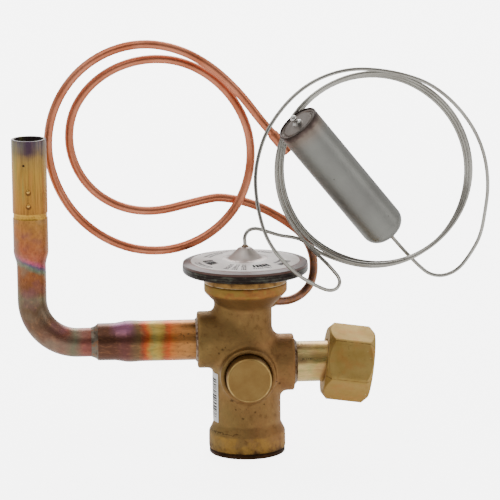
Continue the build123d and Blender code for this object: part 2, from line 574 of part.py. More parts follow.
with BuildPart() as outlet_elbow:
    with BuildLine() as elbow_path:
        Line((-74.0, 0, OUTLET_Z), (LEG_X + ELBOW_R, 0, OUTLET_Z))
        TangentArc((LEG_X + ELBOW_R, 0, OUTLET_Z), (LEG_X, 0, OUTLET_Z + ELBOW_R), tangent=(-1, 0, 0))
        Line((LEG_X, 0, OUTLET_Z + ELBOW_R), (LEG_X, 0, 107.5))
    with BuildSketch(Plane(origin=(-74.0, 0, OUTLET_Z), z_dir=(-1, 0, 0))):
        Circle(LEG_R)
    sweep(path=elbow_path.line)
    with BuildSketch(Plane.XZ):
        with BuildLine():
            Polyline((LEG_X, 107.5), (LEG_X + LEG_R, 107.5), (LEG_X + 8.2, 109.0),
                     (LEG_X + 9.2, 112.7), (LEG_X + BELL_R, BELL_Z0), (LEG_X + BELL_R, BELL_Z1),
                     (LEG_X, BELL_Z1), (LEG_X, 107.5))
        make_face()
    revolve(axis=Axis((LEG_X, 0, 0), (0, 0, 1)))
    with BuildSketch(Plane(origin=(-74.0, 0, OUTLET_Z), z_dir=(-1, 0, 0))):
        Circle(LEG_R - LEG_WALL)
    sweep(path=elbow_path.line, mode=Mode.SUBTRACT)
    with BuildSketch(Plane.XZ):
        with BuildLine():
            Polyline((LEG_X, 107.5), (LEG_X + LEG_R - LEG_WALL, 107.5), (LEG_X + 8.3, 113.2),
                     (LEG_X + BELL_BORE, BELL_Z0 + 0.4), (LEG_X + BELL_BORE, BELL_Z1),
                     (LEG_X, BELL_Z1), (LEG_X, 107.5))
        make_face()
    revolve(axis=Axis((LEG_X, 0, 0), (0, 0, 1)), mode=Mode.SUBTRACT)
save(outlet_elbow, "outlet_elbow")

with BuildPart() as coupling_braze:
    with BuildSketch(Plane.XZ):
        with BuildLine():
            Polyline((LEG_X + 8.52, BELL_Z1), (LEG_X + 9.3, BELL_Z1), (LEG_X + 9.15, 134.0),
                     (LEG_X + 9.15, 135.4), (LEG_X + 9.35, COUPLING_Z0),
                     (LEG_X + 8.52, COUPLING_Z0), (LEG_X + 8.52, BELL_Z1))
        make_face()
    revolve(axis=Axis((LEG_X, 0, 0), (0, 0, 1)))
save(coupling_braze, "coupling_braze")

with BuildPart() as outlet_coupling:
    with BuildSketch(Plane.XZ):
        with BuildLine():
            Polyline((LEG_X + 7.2, 121.0), (LEG_X + 8.2, 121.0), (LEG_X + 8.5, 121.5),
                     (LEG_X + 8.5, COUPLING_Z0), (LEG_X + COUPLING_R, COUPLING_Z0),
                     (LEG_X + COUPLING_R, COUPLING_Z1 - 0.3),
                     (LEG_X + COUPLING_R - 0.3, COUPLING_Z1), (LEG_X + COUPLING_BORE, COUPLING_Z1),
                     (LEG_X + COUPLING_BORE, 150.4), (LEG_X + 7.2, 150.4), (LEG_X + 7.2, 121.0))
        make_face()
    revolve(axis=Axis((LEG_X, 0, 0), (0, 0, 1)))
    # two raised locating pips and a small witness dent
    with Locations((LEG_X - 0.8, -8.8, 149.0), (LEG_X - 0.8, -8.8, 141.4)):
        Sphere(1.4)
    with Locations((LEG_X - 3.1, -9.6, 163.2)):
        Sphere(0.9, mode=Mode.SUBTRACT)
save(outlet_coupling, "outlet_coupling")

# ===========================================================================
# Equaliser tube
# ===========================================================================
SOCKET_LEN, EQ_SOCKET_R = 12.0, 2.41
with BuildPart() as equaliser_tube:
    with BuildLine():
        eq_line = FilletPolyline(*EQ_ROUTE, radius=radii(EQ_ROUTE))
    with BuildSketch(Plane(origin=eq_line @ 0, z_dir=eq_line % 0)):
        Circle(EQ_R)
        Circle(EQ_R - EQ_WALL, mode=Mode.SUBTRACT)
    sweep(path=eq_line)
    eq_end, eq_out = eq_line @ 1, eq_line % 1
    with BuildSketch(Plane(origin=eq_end - eq_out * (SOCKET_LEN + 1.0), z_dir=eq_out)):
        Circle(3.0)
        Circle(EQ_SOCKET_R - 0.3, mode=Mode.SUBTRACT)
    extrude(amount=SOCKET_LEN + 1.0)
    with BuildSketch(Plane(origin=eq_end - eq_out * SOCKET_LEN, z_dir=eq_out)):
        Circle(EQ_SOCKET_R)
    extrude(amount=SOCKET_LEN + 1, mode=Mode.SUBTRACT)
save(equaliser_tube, "equaliser_tube")
print("equaliser length", eq_line.length, "section x length",
      eq_line.length * pi * (EQ_R ** 2 - (EQ_R - EQ_WALL) ** 2))

eq_root, eq_way = Vector(*EQ_ROUTE[0]), eq_line % 0
with BuildPart() as equaliser_braze:
    with BuildSketch(Plane(origin=eq_root + eq_way * 4.6, z_dir=eq_way)):
        Circle(4.5)
    extrude(amount=4.2, taper=21)
    with BuildSketch(Plane(origin=eq_root, z_dir=eq_way)):
        Circle(EQ_R + 0.09)
    extrude(amount=14, mode=Mode.SUBTRACT)
equaliser_braze.part = equaliser_braze.part - valve_body.part
save(equaliser_braze, "equaliser_braze")

# ===========================================================================
# Capillary
# ===========================================================================
with BuildPart() as capillary_tube:
    with BuildLine():
        cap_line = FilletPolyline(*CAP_ROUTE, radius=radii(CAP_ROUTE))
    with BuildSketch(Plane(origin=cap_line @ 0, z_dir=cap_line % 0)):
        Circle(CAP_R)
        Circle(CAP_R - CAP_WALL, mode=Mode.SUBTRACT)
    sweep(path=cap_line)
save(capillary_tube, "capillary_tube")
print("capillary length", cap_line.length, "section x length",
      cap_line.length * pi * (CAP_R ** 2 - (CAP_R - CAP_WALL) ** 2))

# ===========================================================================
# Bulb
# ===========================================================================
bulb_way = (BULB_B - BULB_A).normalized()
bulb_len = (BULB_B - BULB_A).length
bulb_side = Vector(0, -1, 0).cross(bulb_way).normalized()
BULB_LINE = Axis(BULB_A, bulb_way)
cap_end, cap_way = cap_line @ 1, cap_line % 1


def turned_at_bulb(outline):
    """Turn a profile given as (distance from the capped end, radius) about the bulb axis."""
    with BuildPart() as made:
        with BuildSketch(Plane(origin=BULB_A, x_dir=bulb_way,
                               z_dir=bulb_way.cross(bulb_side))):
            with BuildLine():
                Polyline(*(outline + outline[:1]))
            make_face()
        revolve(axis=BULB_LINE)
    return made


def rounded(r, end, corner, steps=7):
    """Rounded far end of the bulb: quarter circle of the given corner radius."""
    return [(end - corner + corner * sin(pi / 2 * k / steps),
             r - corner + corner * cos(pi / 2 * k / steps)) for k in range(steps + 1)]


outer_end = rounded(BULB_R, bulb_len, 7.5, 10)
inner_end = rounded(BULB_R - BULB_WALL, bulb_len - BULB_WALL, 6.7, 10)
bulb_shell = turned_at_bulb(
    [(0.0, 11.35), (0.0, 11.7), (0.3, BULB_R)] + outer_end + [(bulb_len, 0.0)]
    + [(bulb_len - BULB_WALL, 0.0)] + inner_end[::-1] + [(0.15, BULB_R - BULB_WALL)])
with BuildPart() as entry_drill:
    with BuildSketch(Plane(origin=cap_end - cap_way * 3, z_dir=cap_way)):
        Circle(CAP_R + 0.02)
    extrude(amount=6)
bulb_shell.part = bulb_shell.part - entry_drill.part
save(bulb_shell, "bulb_shell")

bulb_end_cap = turned_at_bulb([
    (0.5, 0.0), (0.5, 8.6), (1.3, 9.2), (1.3, 9.9), (0.6, 10.3), (0.6, 11.2), (2.6, 11.2), (2.6, 0.0)])
save(bulb_end_cap, "bulb_end_cap")

bulb_fill_tip = turned_at_bulb(
    [(0.5, 0.0), (0.5, 2.7), (-0.4, 2.6), (-0.7, 1.3), (-1.9, 1.2)]
    + [(-3.3 + 1.9 * cos(pi * k / 12), 1.9 * sin(pi * k / 12)) for k in range(3, 13)]
    )
save(bulb_fill_tip, "bulb_fill_tip")

with BuildPart() as bulb_ferrule:
    with BuildSketch(Plane(origin=cap_end - cap_way * 3.5, z_dir=cap_way)):
        Circle(1.9)
    extrude(amount=4.0)
    with BuildSketch(Plane(origin=cap_end - cap_way * 4.0, z_dir=cap_way)):
        Circle(CAP_R + 0.02)
    extrude(amount=6.0, mode=Mode.SUBTRACT)
    with BuildSketch(Plane(origin=BULB_B, z_dir=bulb_way * -1)):
        Circle(6.0)
    extrude(amount=4.0, mode=Mode.SUBTRACT)
save(bulb_ferrule, "bulb_ferrule")

# ===========================================================================
# Bar label on the lower barrel
# ===========================================================================
with BuildPart() as bar_label:
    with BuildSketch(Plane.XY.offset(18.4)):
        with BuildLine():
            start, stop = -150.0, -245.0
            r_in, r_out = WAIST_R + 0.0, WAIST_R + 0.16
            CenterArc((0, 0), r_out, start, stop - start)
            CenterArc((0, 0), r_in, start, stop - start)
            Line((r_in * cos(radians(start)), r_in * sin(radians(start))),
                 (r_out * cos(radians(start)), r_out * sin(radians(start))))
            Line((r_in * cos(radians(stop)), r_in * sin(radians(stop))),
                 (r_out * cos(radians(stop)), r_out * sin(radians(stop))))
        make_face()
    extrude(amount=27.2)
save(bar_label, "bar_label")
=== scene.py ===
import json
import math

import bpy
import numpy as np
from mathutils import Matrix, Vector


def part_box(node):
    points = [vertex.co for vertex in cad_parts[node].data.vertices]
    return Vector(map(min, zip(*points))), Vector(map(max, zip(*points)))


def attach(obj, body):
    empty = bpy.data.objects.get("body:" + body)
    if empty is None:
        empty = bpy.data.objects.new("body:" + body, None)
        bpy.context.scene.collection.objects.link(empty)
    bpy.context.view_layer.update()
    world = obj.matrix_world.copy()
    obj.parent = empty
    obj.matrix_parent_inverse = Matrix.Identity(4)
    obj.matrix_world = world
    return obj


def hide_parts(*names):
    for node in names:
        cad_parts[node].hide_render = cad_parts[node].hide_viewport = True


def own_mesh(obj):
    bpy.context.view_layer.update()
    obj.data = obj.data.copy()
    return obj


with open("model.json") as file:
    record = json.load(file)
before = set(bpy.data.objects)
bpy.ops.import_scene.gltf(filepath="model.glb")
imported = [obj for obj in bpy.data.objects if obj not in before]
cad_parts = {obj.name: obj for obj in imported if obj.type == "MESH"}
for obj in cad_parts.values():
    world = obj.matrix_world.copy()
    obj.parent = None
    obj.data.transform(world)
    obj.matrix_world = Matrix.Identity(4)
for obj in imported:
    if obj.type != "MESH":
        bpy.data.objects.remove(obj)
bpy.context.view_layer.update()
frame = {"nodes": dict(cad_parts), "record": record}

NODES = frame["nodes"]
MM = 0.001


# ---------------------------------------------------------------------------
# Shader helper
# ---------------------------------------------------------------------------
class Paint:
    """One material, built from object-space coordinates in millimetres."""

    def __init__(self, name, metallic=1.0):
        self.m = bpy.data.materials.new(name)
        self.m.use_nodes = True
        self.t = self.m.node_tree
        self.b = self.t.nodes["Principled BSDF"]
        self.b.inputs["Metallic"].default_value = metallic
        tc = self.t.nodes.new("ShaderNodeTexCoord")
        sc = self.t.nodes.new("ShaderNodeVectorMath")
        sc.operation = "SCALE"
        self.t.links.new(tc.outputs["Object"], sc.inputs[0])
        sc.inputs["Scale"].default_value = 1000.0
        self.p = sc.outputs[0]
        sep = self.t.nodes.new("ShaderNodeSeparateXYZ")
        self.t.links.new(self.p, sep.inputs[0])
        self.x, self.y, self.z = sep.outputs

    def put(self, sock, v):
        if isinstance(v, bpy.types.NodeSocket):
            self.t.links.new(v, sock)
        elif isinstance(v, tuple) and len(v) == 3 and sock.type == "RGBA":
            sock.default_value = (*v, 1.0)
        else:
            sock.default_value = v

    def calc(self, op, a, b=0.0, c=None, clamp=False):
        n = self.t.nodes.new("ShaderNodeMath")
        n.operation = op
        n.use_clamp = clamp
        self.put(n.inputs[0], a)
        self.put(n.inputs[1], b)
        if c is not None:
            self.put(n.inputs[2], c)
        return n.outputs[0]

    def stretched(self, s, shift=(0, 0, 0)):
        n = self.t.nodes.new("ShaderNodeMapping")
        self.put(n.inputs["Vector"], self.p)
        n.inputs["Scale"].default_value = s
        n.inputs["Location"].default_value = shift
        return n.outputs[0]

    def noise(self, scale, detail=4.0, rough=0.55, s=(1, 1, 1), shift=(0, 0, 0), warp=0.0):
        n = self.t.nodes.new("ShaderNodeTexNoise")
        self.put(n.inputs["Vector"], self.stretched(s, shift))
        n.inputs["Scale"].default_value = scale
        n.inputs["Detail"].default_value = detail
        n.inputs["Roughness"].default_value = rough
        n.inputs["Distortion"].default_value = warp
        return n.outputs["Fac"]

    def specks(self, scale, size, s=(1, 1, 1), shift=(0, 0, 0)):
        """1 inside small round spots, 0 outside."""
        n = self.t.nodes.new("ShaderNodeTexVoronoi")
        self.put(n.inputs["Vector"], self.stretched(s, shift))
        n.inputs["Scale"].default_value = scale
        return self.span(n.outputs["Distance"], size, size * 0.4, 0.0, 1.0)

    def span(self, v, lo, hi, a=0.0, b=1.0):
        n = self.t.nodes.new("ShaderNodeMapRange")
        n.clamp = True
        self.put(n.inputs["Value"], v)
        for k, w in (("From Min", lo), ("From Max", hi), ("To Min", a), ("To Max", b)):
            n.inputs[k].default_value = w
        return n.outputs["Result"]

    def ramp(self, fac, stops, how="LINEAR"):
        n = self.t.nodes.new("ShaderNodeValToRGB")
        n.color_ramp.interpolation = how
        self.put(n.inputs["Fac"], fac)
        e = n.color_ramp.elements
        while len(e) > 1:
            e.remove(e[-1])
        e[0].position = stops[0][0]
        e[0].color = (*lin(stops[0][1]), 1)
        for at, col in stops[1:]:
            k = e.new(at)
            k.color = (*lin(col), 1)
        return n.outputs["Color"]

    def mix(self, fac, a, b, how="MIX"):
        n = self.t.nodes.new("ShaderNodeMix")
        n.data_type = "RGBA"
        n.blend_type = how
        ins = [i for i in n.inputs if i.enabled]
        self.put(ins[0], fac)
        self.put(ins[1], a)
        self.put(ins[2], b)
        return [o for o in n.outputs if o.enabled][0]

    def bump(self, height, dist_mm, strength=1.0):
        n = self.t.nodes.new("ShaderNodeBump")
        n.inputs["Strength"].default_value = strength
        n.inputs["Distance"].default_value = dist_mm * MM
        self.put(n.inputs["Height"], height)
        if self.b.inputs["Normal"].is_linked:
            self.t.links.new(self.b.inputs["Normal"].links[0].from_socket, n.inputs["Normal"])
        self.t.links.new(n.outputs["Normal"], self.b.inputs["Normal"])

    def out(self, color=None, rough=None):
        if color is not None:
            self.put(self.b.inputs["Base Color"], color)
        if rough is not None:
            self.put(self.b.inputs["Roughness"], rough)
        return self.m


def lin(c):
    """Display colour 0-255 to scene-linear."""
    return tuple(((v / 255.0) / 12.92) if v / 255.0 <= 0.04045 else (((v / 255.0) + 0.055) / 1.055) ** 2.4
                 for v in c)


def col(r, g, b):
    return lin((r, g, b))


# ---------------------------------------------------------------------------
# Materials
# ---------------------------------------------------------------------------
def forged_brass():
    """Hot-forged brass, tumbled: olive brown with warmer clouds, small dark pits, darker towards the foot."""
    k = Paint("forged_brass")
    big = k.noise(0.055, 3, 0.5, warp=0.8)
    mid = k.noise(0.24, 5, 0.62, shift=(11, 3, 5))
    fine = k.noise(1.7, 4, 0.65)
    side = k.span(k.x, -22, 26)
    shade = k.calc("ADD", k.calc("MULTIPLY", big, 0.6), k.calc("MULTIPLY", side, 0.34))
    base = k.ramp(shade, [(0.18, (134, 113, 68)), (0.36, (140, 111, 67)), (0.52, (146, 112, 69)),
                          (0.68, (150, 110, 69)), (0.86, (150, 103, 66))])
    base = k.mix(k.span(mid, 0.55, 0.70, 0, 0.45), base, col(102, 72, 40))
    base = k.mix(k.span(mid, 0.44, 0.30, 0, 0.32), base, col(164, 132, 78))
    pits = k.specks(0.55, 0.17, shift=(4, 9, 2))
    pits = k.calc("MULTIPLY", pits, k.span(k.noise(0.12, 2, shift=(7, 7, 1)), 0.48, 0.58))
    base = k.mix(k.calc("MULTIPLY", pits, 0.5), base, col(72, 50, 28))
    # painted shade: dark spots in the crotches between the bosses and on the barrel under the front boss
    for sx, sz, size in ((-13.6, 60.8, 1.3), (-15.7, 58.6, 1.0), (-12.2, 62.0, 0.7), (17.3, 40.6, 1.5),
                         (15.6, 42.0, 0.8), (-9.0, 32.5, 1.4), (-7.0, 27.5, 0.8), (3.6, 26.0, 0.9),
                         (-3.2, 22.6, 1.0), (8.5, 30.0, 0.6)):
        d = k.calc("SQRT", k.calc("ADD", k.calc("POWER", k.calc("ADD", k.x, -sx), 2.0),
                                  k.calc("POWER", k.calc("ADD", k.z, -sz), 2.0)))
        d = k.calc("ADD", d, k.calc("MULTIPLY", k.noise(1.1, 3, 0.6), size * 1.6))
        mark = k.calc("MULTIPLY", k.span(d, size * 1.7, size * 0.9), k.span(k.y, 0.0, -2.0))
        base = k.mix(k.calc("MULTIPLY", mark, 0.75), base, col(58, 42, 24))
    # the body darker towards its foot, with a ragged edge
    ragged = k.calc("MULTIPLY", k.noise(0.35, 4, 0.6, shift=(1, 6, 2)), 5.0)
    foot = k.span(k.calc("SUBTRACT", k.z, k.calc("MULTIPLY", ragged, 1.5)), 3.4, -1.2)
    base = k.mix(k.calc("MULTIPLY", foot, 0.9), base, col(58, 36, 24))
    collar = k.span(k.z, 12.6, 11.2)
    base = k.mix(k.calc("MULTIPLY", collar, k.span(k.noise(0.16, 3, shift=(2, 8, 5)), 0.4, 0.6, 0, 0.5)),
                 base, col(178, 138, 66))
    seam = k.calc("ABSOLUTE", k.calc("SUBTRACT", k.calc("SUBTRACT", k.z, 13.6), k.calc("MULTIPLY", k.calc(
        "SUBTRACT", k.noise(0.3, 3, shift=(6, 2, 2)), 0.5), 5.0)))
    crack = k.calc("MULTIPLY", k.span(seam, 0.34, 0.1), k.span(k.x, -3.0, -7.0))
    base = k.mix(k.calc("MULTIPLY", crack, 0.6), base, col(52, 36, 22))
    golden = k.calc("MULTIPLY", k.span(k.z, 88.6, 90.2), 0.7)
    patch = k.noise(0.13, 3, 0.55, shift=(8, 1, 3))
    gold = k.ramp(patch, [(0.34, (160, 132, 62)), (0.47, (166, 128, 62)), (0.55, (168, 110, 56)),
                          (0.64, (134, 98, 52)), (0.74, (168, 138, 70))])
    base = k.mix(golden, base, gold)
    tick = k.calc("MULTIPLY", k.span(k.noise(0.9, 2, 0.5, s=(1, 1, 0.1)), 0.60, 0.66),
                  k.calc("MULTIPLY", k.span(k.z, 93.6, 94.4), k.span(k.noise(0.12, 2, shift=(1, 1, 9)), 0.5, 0.58)))
    base = k.mix(k.calc("MULTIPLY", tick, 0.8), base, col(66, 44, 26))
    # painted shade: the flange's sloping underside, z 82 to 90, darker brown
    upper = k.calc("MULTIPLY", k.span(k.z, 82.0, 87.0), k.span(k.z, 90.4, 89.0))
    base = k.mix(k.calc("MULTIPLY", upper, 0.45), base, col(120, 84, 44))
    rough = k.calc("ADD", k.span(mid, 0.3, 0.7, 0.50, 0.60), k.calc("MULTIPLY", fine, 0.08))
    k.bump(k.calc("ADD", k.calc("MULTIPLY", fine, 0.5), mid), 0.22, 0.6)
    k.bump(k.calc("MULTIPLY", pits, -1.0), 0.2, 0.6)
    return k.out(base, rough)


def turned_brass(name, tone=(204, 164, 96), dark=(150, 110, 60), axis="z", rough=0.30):
    """Machined brass: fine turning lines about its axis and a light tarnish."""
    k = Paint(name)
    cloud = k.noise(0.18, 4, 0.55, warp=0.4)
    base = k.mix(k.span(cloud, 0.40, 0.70), col(*tone), col(*dark))
    streak = {"z": (0.05, 0.05, 6), "x": (6, 0.05, 0.05), "y": (0.05, 6, 0.05)}[axis]
    lines = k.noise(1.0, 2, 0.5, s=streak)
    base = k.mix(k.span(lines, 0.35, 0.65, 0, 0.12), base, col(120, 84, 44))
    k.bump(lines, 0.03, 0.35)
    k.bump(k.noise(1.1, 3), 0.03, 0.4)
    return k.out(base, k.calc("ADD", rough, k.calc("MULTIPLY", cloud, 0.16)))


def nut_brass():
    """Cut from hexagon bar: matte tan, fine saw marks, small nicks."""
    k = Paint("nut_brass")
    cloud = k.noise(0.10, 4, 0.55, shift=(3, 0, 8))
    base = k.mix(k.span(cloud, 0.35, 0.7), col(182, 154, 92), col(164, 134, 72))
    # painted shade: the lower part of the nut darker and browner
    low = k.span(k.z, 46, 30)
    base = k.mix(k.calc("MULTIPLY", low, 0.6), base, col(158, 120, 52))
    up = k.calc("ADD", k.calc("ADD", k.calc("MULTIPLY", k.x, 0.1392), k.calc("MULTIPLY", k.z, 0.9903)), -55.469)
    turn = k.calc("MULTIPLY", k.calc("ARCTAN2", up, k.calc("MULTIPLY", k.y, -1.0)), 57.29578 / 60.0)
    turn = k.calc("ADD", turn, -0.75)
    off = k.calc("ABSOLUTE", k.calc("SUBTRACT", turn, k.calc("ROUND", turn)))
    worn = k.span(k.noise(0.35, 4, 0.65, shift=(1, 4, 1)), 0.40, 0.56, 0.25, 1.0)
    line = k.calc("MULTIPLY", k.span(k.calc("ADD", off, k.calc("MULTIPLY", k.noise(0.5, 3), 0.012)), 0.030, 0.012), worn)
    base = k.mix(k.calc("MULTIPLY", line, 0.6), base, col(96, 68, 34))
    dirt = k.noise(0.5, 5, 0.7, shift=(8, 3, 0))
    base = k.mix(k.span(dirt, 0.58, 0.72, 0, 0.35), base, col(112, 84, 46))
    warm = k.noise(0.16, 3, 0.5, shift=(0, 7, 2))
    base = k.mix(k.span(warm, 0.50, 0.66, 0, 0.4), base, col(178, 124, 66))
    nick = k.specks(0.28, 0.11, shift=(2, 5, 1))
    nick = k.calc("MULTIPLY", nick, k.span(k.noise(0.3, 2), 0.52, 0.6))
    base = k.mix(nick, base, col(226, 206, 160))
    fine = k.noise(2.2, 3, 0.6)
    saw = k.noise(0.9, 3, 0.6, s=(0.15, 1.4, 1.4))
    k.bump(fine, 0.05, 0.5)
    k.bump(saw, 0.05, 0.4)
    return k.out(base, k.calc("ADD", 0.56, k.calc("MULTIPLY", fine, 0.12)))


def elbow_run(k):
    """Distance along the elbow in mm, zero where its bend starts, leaning a little on the upright leg."""
    u = k.calc("MAXIMUM", k.calc("SUBTRACT", -91.7, k.x), 0.0)
    v = k.calc("MAXIMUM", k.calc("SUBTRACT", 87.7, k.z), 0.001)
    bend = k.calc("MULTIPLY", k.calc("ARCTAN2", u, v), 24.5)
    flat = k.calc("MAXIMUM", k.calc("ADD", k.x, 91.7), 0.0)
    rise = k.calc("MAXIMUM", k.calc("SUBTRACT", k.z, 87.7), 0.0)
    lean = k.calc("MULTIPLY", k.calc("MULTIPLY", k.calc("ADD", k.x, 116.2), 0.45), k.span(k.z, 88, 100))
    return k.calc("ADD", k.calc("ADD", k.calc("SUBTRACT", bend, flat), rise), lean)


def heat_tube(name, along, lo, hi, stops, streak, rough=0.26, stain=0.35, swing=12.0, cloud=None):
    """Copper after brazing: oxide colours that change along the tube, with streaks."""
    k = Paint(name, 0.78)
    way = {"-x": k.calc("MULTIPLY", k.x, -1.0),
           "path": elbow_run(k) if along == "path" else None,
           "x": k.x, "z": k.z}[along]
    wander = k.calc("MULTIPLY", k.calc("SUBTRACT", k.noise(0.09, 3, 0.5, warp=0.4), 0.5), swing)
    ragged = k.calc("MULTIPLY", k.calc("SUBTRACT", k.noise(0.5, 4, 0.6), 0.5), swing * 0.35)
    pos = k.span(k.calc("ADD", k.calc("ADD", way, wander), ragged), lo, hi)
    base = k.ramp(pos, stops)
    lines = k.noise(1.0, 4, 0.6, s=streak)
    base = k.mix(k.span(lines, 0.46, 0.75, 0, stain), base, col(74, 46, 30))
    base = k.mix(k.span(lines, 0.46, 0.25, 0, stain * 0.5), base, col(214, 150, 96))
    if cloud:
        patch = k.noise(0.07, 3, 0.5, shift=(5, 2, 9))
        base = k.mix(k.span(patch, 0.50, 0.66, 0, 0.5), base, col(*cloud[0]))
        base = k.mix(k.span(patch, 0.46, 0.32, 0, 0.5), base, col(*cloud[1]))
        spot = k.noise(0.6, 3, 0.6, shift=(3, 3, 3))
        base = k.mix(k.span(spot, 0.66, 0.74, 0, 0.5), base, col(58, 38, 30))
    if name == "copper":
        hue = k.noise(0.12, 3, 0.5, s=(1, 1, 1.6), shift=(3, 1, 4))
        base = k.mix(k.span(hue, 0.50, 0.64, 0, 0.45), base, col(176, 130, 96))
        base = k.mix(k.span(hue, 0.48, 0.36, 0, 0.45), base, col(158, 158, 96))
        for z0, x0, x1, half, deep in ((60.4, 27.0, 31.0, 0.7, 0.8), (53.3, 26.5, 37.0, 0.35, 0.8),
                                       (52.6, 26.5, 31.0, 0.6, 0.6), (56.6, 26.8, 29.5, 0.5, 0.4)):
            dz = k.calc("ABSOLUTE", k.calc("ADD", k.z, -z0))
            dz = k.calc("ADD", dz, k.calc("MULTIPLY", k.noise(1.4, 3, 0.6), 0.5))
            dash = k.calc("MULTIPLY", k.span(dz, half + 0.45, half * 0.6), k.span(k.x, x1, x1 - 2.0))
            dash = k.calc("MULTIPLY", dash, k.calc("MULTIPLY", k.span(k.x, x0 - 0.5, x0), k.span(k.y, 0.0, -2.0)))
            broken = k.span(k.noise(1.0, 2, 0.5, s=(1, 0.2, 0.2)), 0.40, 0.52)
            base = k.mix(k.calc("MULTIPLY", k.calc("MULTIPLY", dash, broken), deep), base, col(58, 44, 26))
    if name == "stub_heat":
        hump = k.calc("MULTIPLY", k.span(k.z, 67.0, 73.0), k.calc("MULTIPLY", k.span(pos, 0.60, 0.68), k.span(pos, 0.86, 0.78)))
        base = k.mix(k.calc("MULTIPLY", hump, 0.75), base, col(132, 84, 118))
        scorch_and_shade = k.calc("MULTIPLY", k.span(k.noise(0.5, 4, 0.65, shift=(9, 9, 1)), 0.56, 0.66), k.span(pos, 0.30, 0.20))
        base = k.mix(k.calc("MULTIPLY", scorch_and_shade, 0.6), base, col(92, 60, 34))
    if name == "coupling_brass":
        hue = k.noise(0.28, 2, 0.5, s=(1, 1, 0.06), shift=(4, 4, 4))
        base = k.mix(k.calc("MULTIPLY", k.span(hue, 0.50, 0.62, 0, 0.5), k.span(k.z, 140, 150)), base, col(146, 148, 82))
        warm = k.calc("MULTIPLY", k.span(hue, 0.46, 0.34, 0, 0.4), k.span(k.z, 163, 156))
        base = k.mix(warm, base, col(188, 112, 60))
        # painted shadow crescent below each pip and painted highlight on it, so the dents read as raised pips
        for px, pz in ((-117.0, 149.0), (-117.0, 141.4)):
            dx = k.calc("POWER", k.calc("ADD", k.x, -px), 2.0)
            d = k.calc("SQRT", k.calc("ADD", dx, k.calc("POWER", k.calc("ADD", k.z, -pz), 2.0)))
            low = k.calc("SQRT", k.calc("ADD", dx, k.calc("POWER", k.calc("ADD", k.z, 0.7 - pz), 2.0)))
            here = k.span(k.y, 0.0, -4.0)
            dark = k.calc("MULTIPLY", k.calc("MULTIPLY", k.span(low, 1.75, 1.35), k.span(d, 0.85, 1.15)), here)
            base = k.mix(k.calc("MULTIPLY", dark, 0.75), base, col(92, 58, 24))
            lit = k.calc("MULTIPLY", k.span(d, 0.95, 0.5), here)
            base = k.mix(k.calc("MULTIPLY", lit, 0.6), base, col(234, 190, 104))
        # painted shade: a dark dot standing in for a small hole in the coupling
        dot = k.calc("SQRT", k.calc("ADD", k.calc("POWER", k.calc("ADD", k.x, 119.3), 2.0),
                                    k.calc("POWER", k.calc("ADD", k.z, -163.2), 2.0)))
        base = k.mix(k.calc("MULTIPLY", k.span(dot, 0.8, 0.45), k.span(k.y, 0.0, -4.0)), base, col(48, 32, 18))
        front = k.calc("MULTIPLY", k.span(k.calc("ABSOLUTE", k.calc("ADD", k.x, 116.2)), 5.0, 1.0), k.span(k.y, 0.0, -4.0))
        mouth = k.calc("MULTIPLY", front, k.span(k.calc("ADD", k.z, k.calc("MULTIPLY", wander, 0.8)), 165.5, 170.5))
        base = k.mix(k.calc("MULTIPLY", mouth, 0.85), base, col(66, 42, 66))
    k.bump(lines, 0.04, 0.35)
    k.bump(k.noise(1.8, 3), 0.03, 0.35)
    return k.out(base, k.calc("ADD", rough, k.calc("MULTIPLY", lines, 0.14)))


def drawn_copper():
    """Soft copper line, clean, a little darker and bluer where it was heated at the body."""
    k = Paint("tube_copper")
    cloud = k.noise(0.06, 3, 0.5)
    base = k.mix(k.span(cloud, 0.35, 0.7), col(212, 136, 104), col(188, 108, 76))
    near = k.calc("MULTIPLY", k.span(k.z, 122, 104), k.span(k.x, 6, 12))
    burnt = k.ramp(k.noise(0.35, 3, 0.5), [(0.3, (124, 98, 82)), (0.45, (150, 106, 74)),
                                           (0.55, (130, 104, 96)), (0.7, (166, 112, 78))])
    base = k.mix(k.calc("MULTIPLY", near, 0.9), base, burnt)
    fine = k.noise(1.2, 3, 0.6)
    k.bump(fine, 0.03, 0.4)
    return k.out(base, k.calc("ADD", 0.33, k.calc("MULTIPLY", fine, 0.12)))


def steel(name, tone=(150, 149, 145), dark=(132, 130, 126), rough=0.34, s=(1, 1, 1)):
    """Stainless steel with a fine drawn grain."""
    k = Paint(name)
    cloud = k.noise(0.05, 2, 0.5)
    base = k.mix(k.span(cloud, 0.35, 0.7), col(*tone), col(*dark))
    fine = k.noise(1.4, 4, 0.6, s=s)
    base = k.mix(k.span(fine, 0.5, 0.8, 0, 0.15), base, col(92, 90, 86))
    k.bump(fine, 0.03, 0.35)
    return k.out(base, k.calc("ADD", rough, k.calc("MULTIPLY", fine, 0.14)))


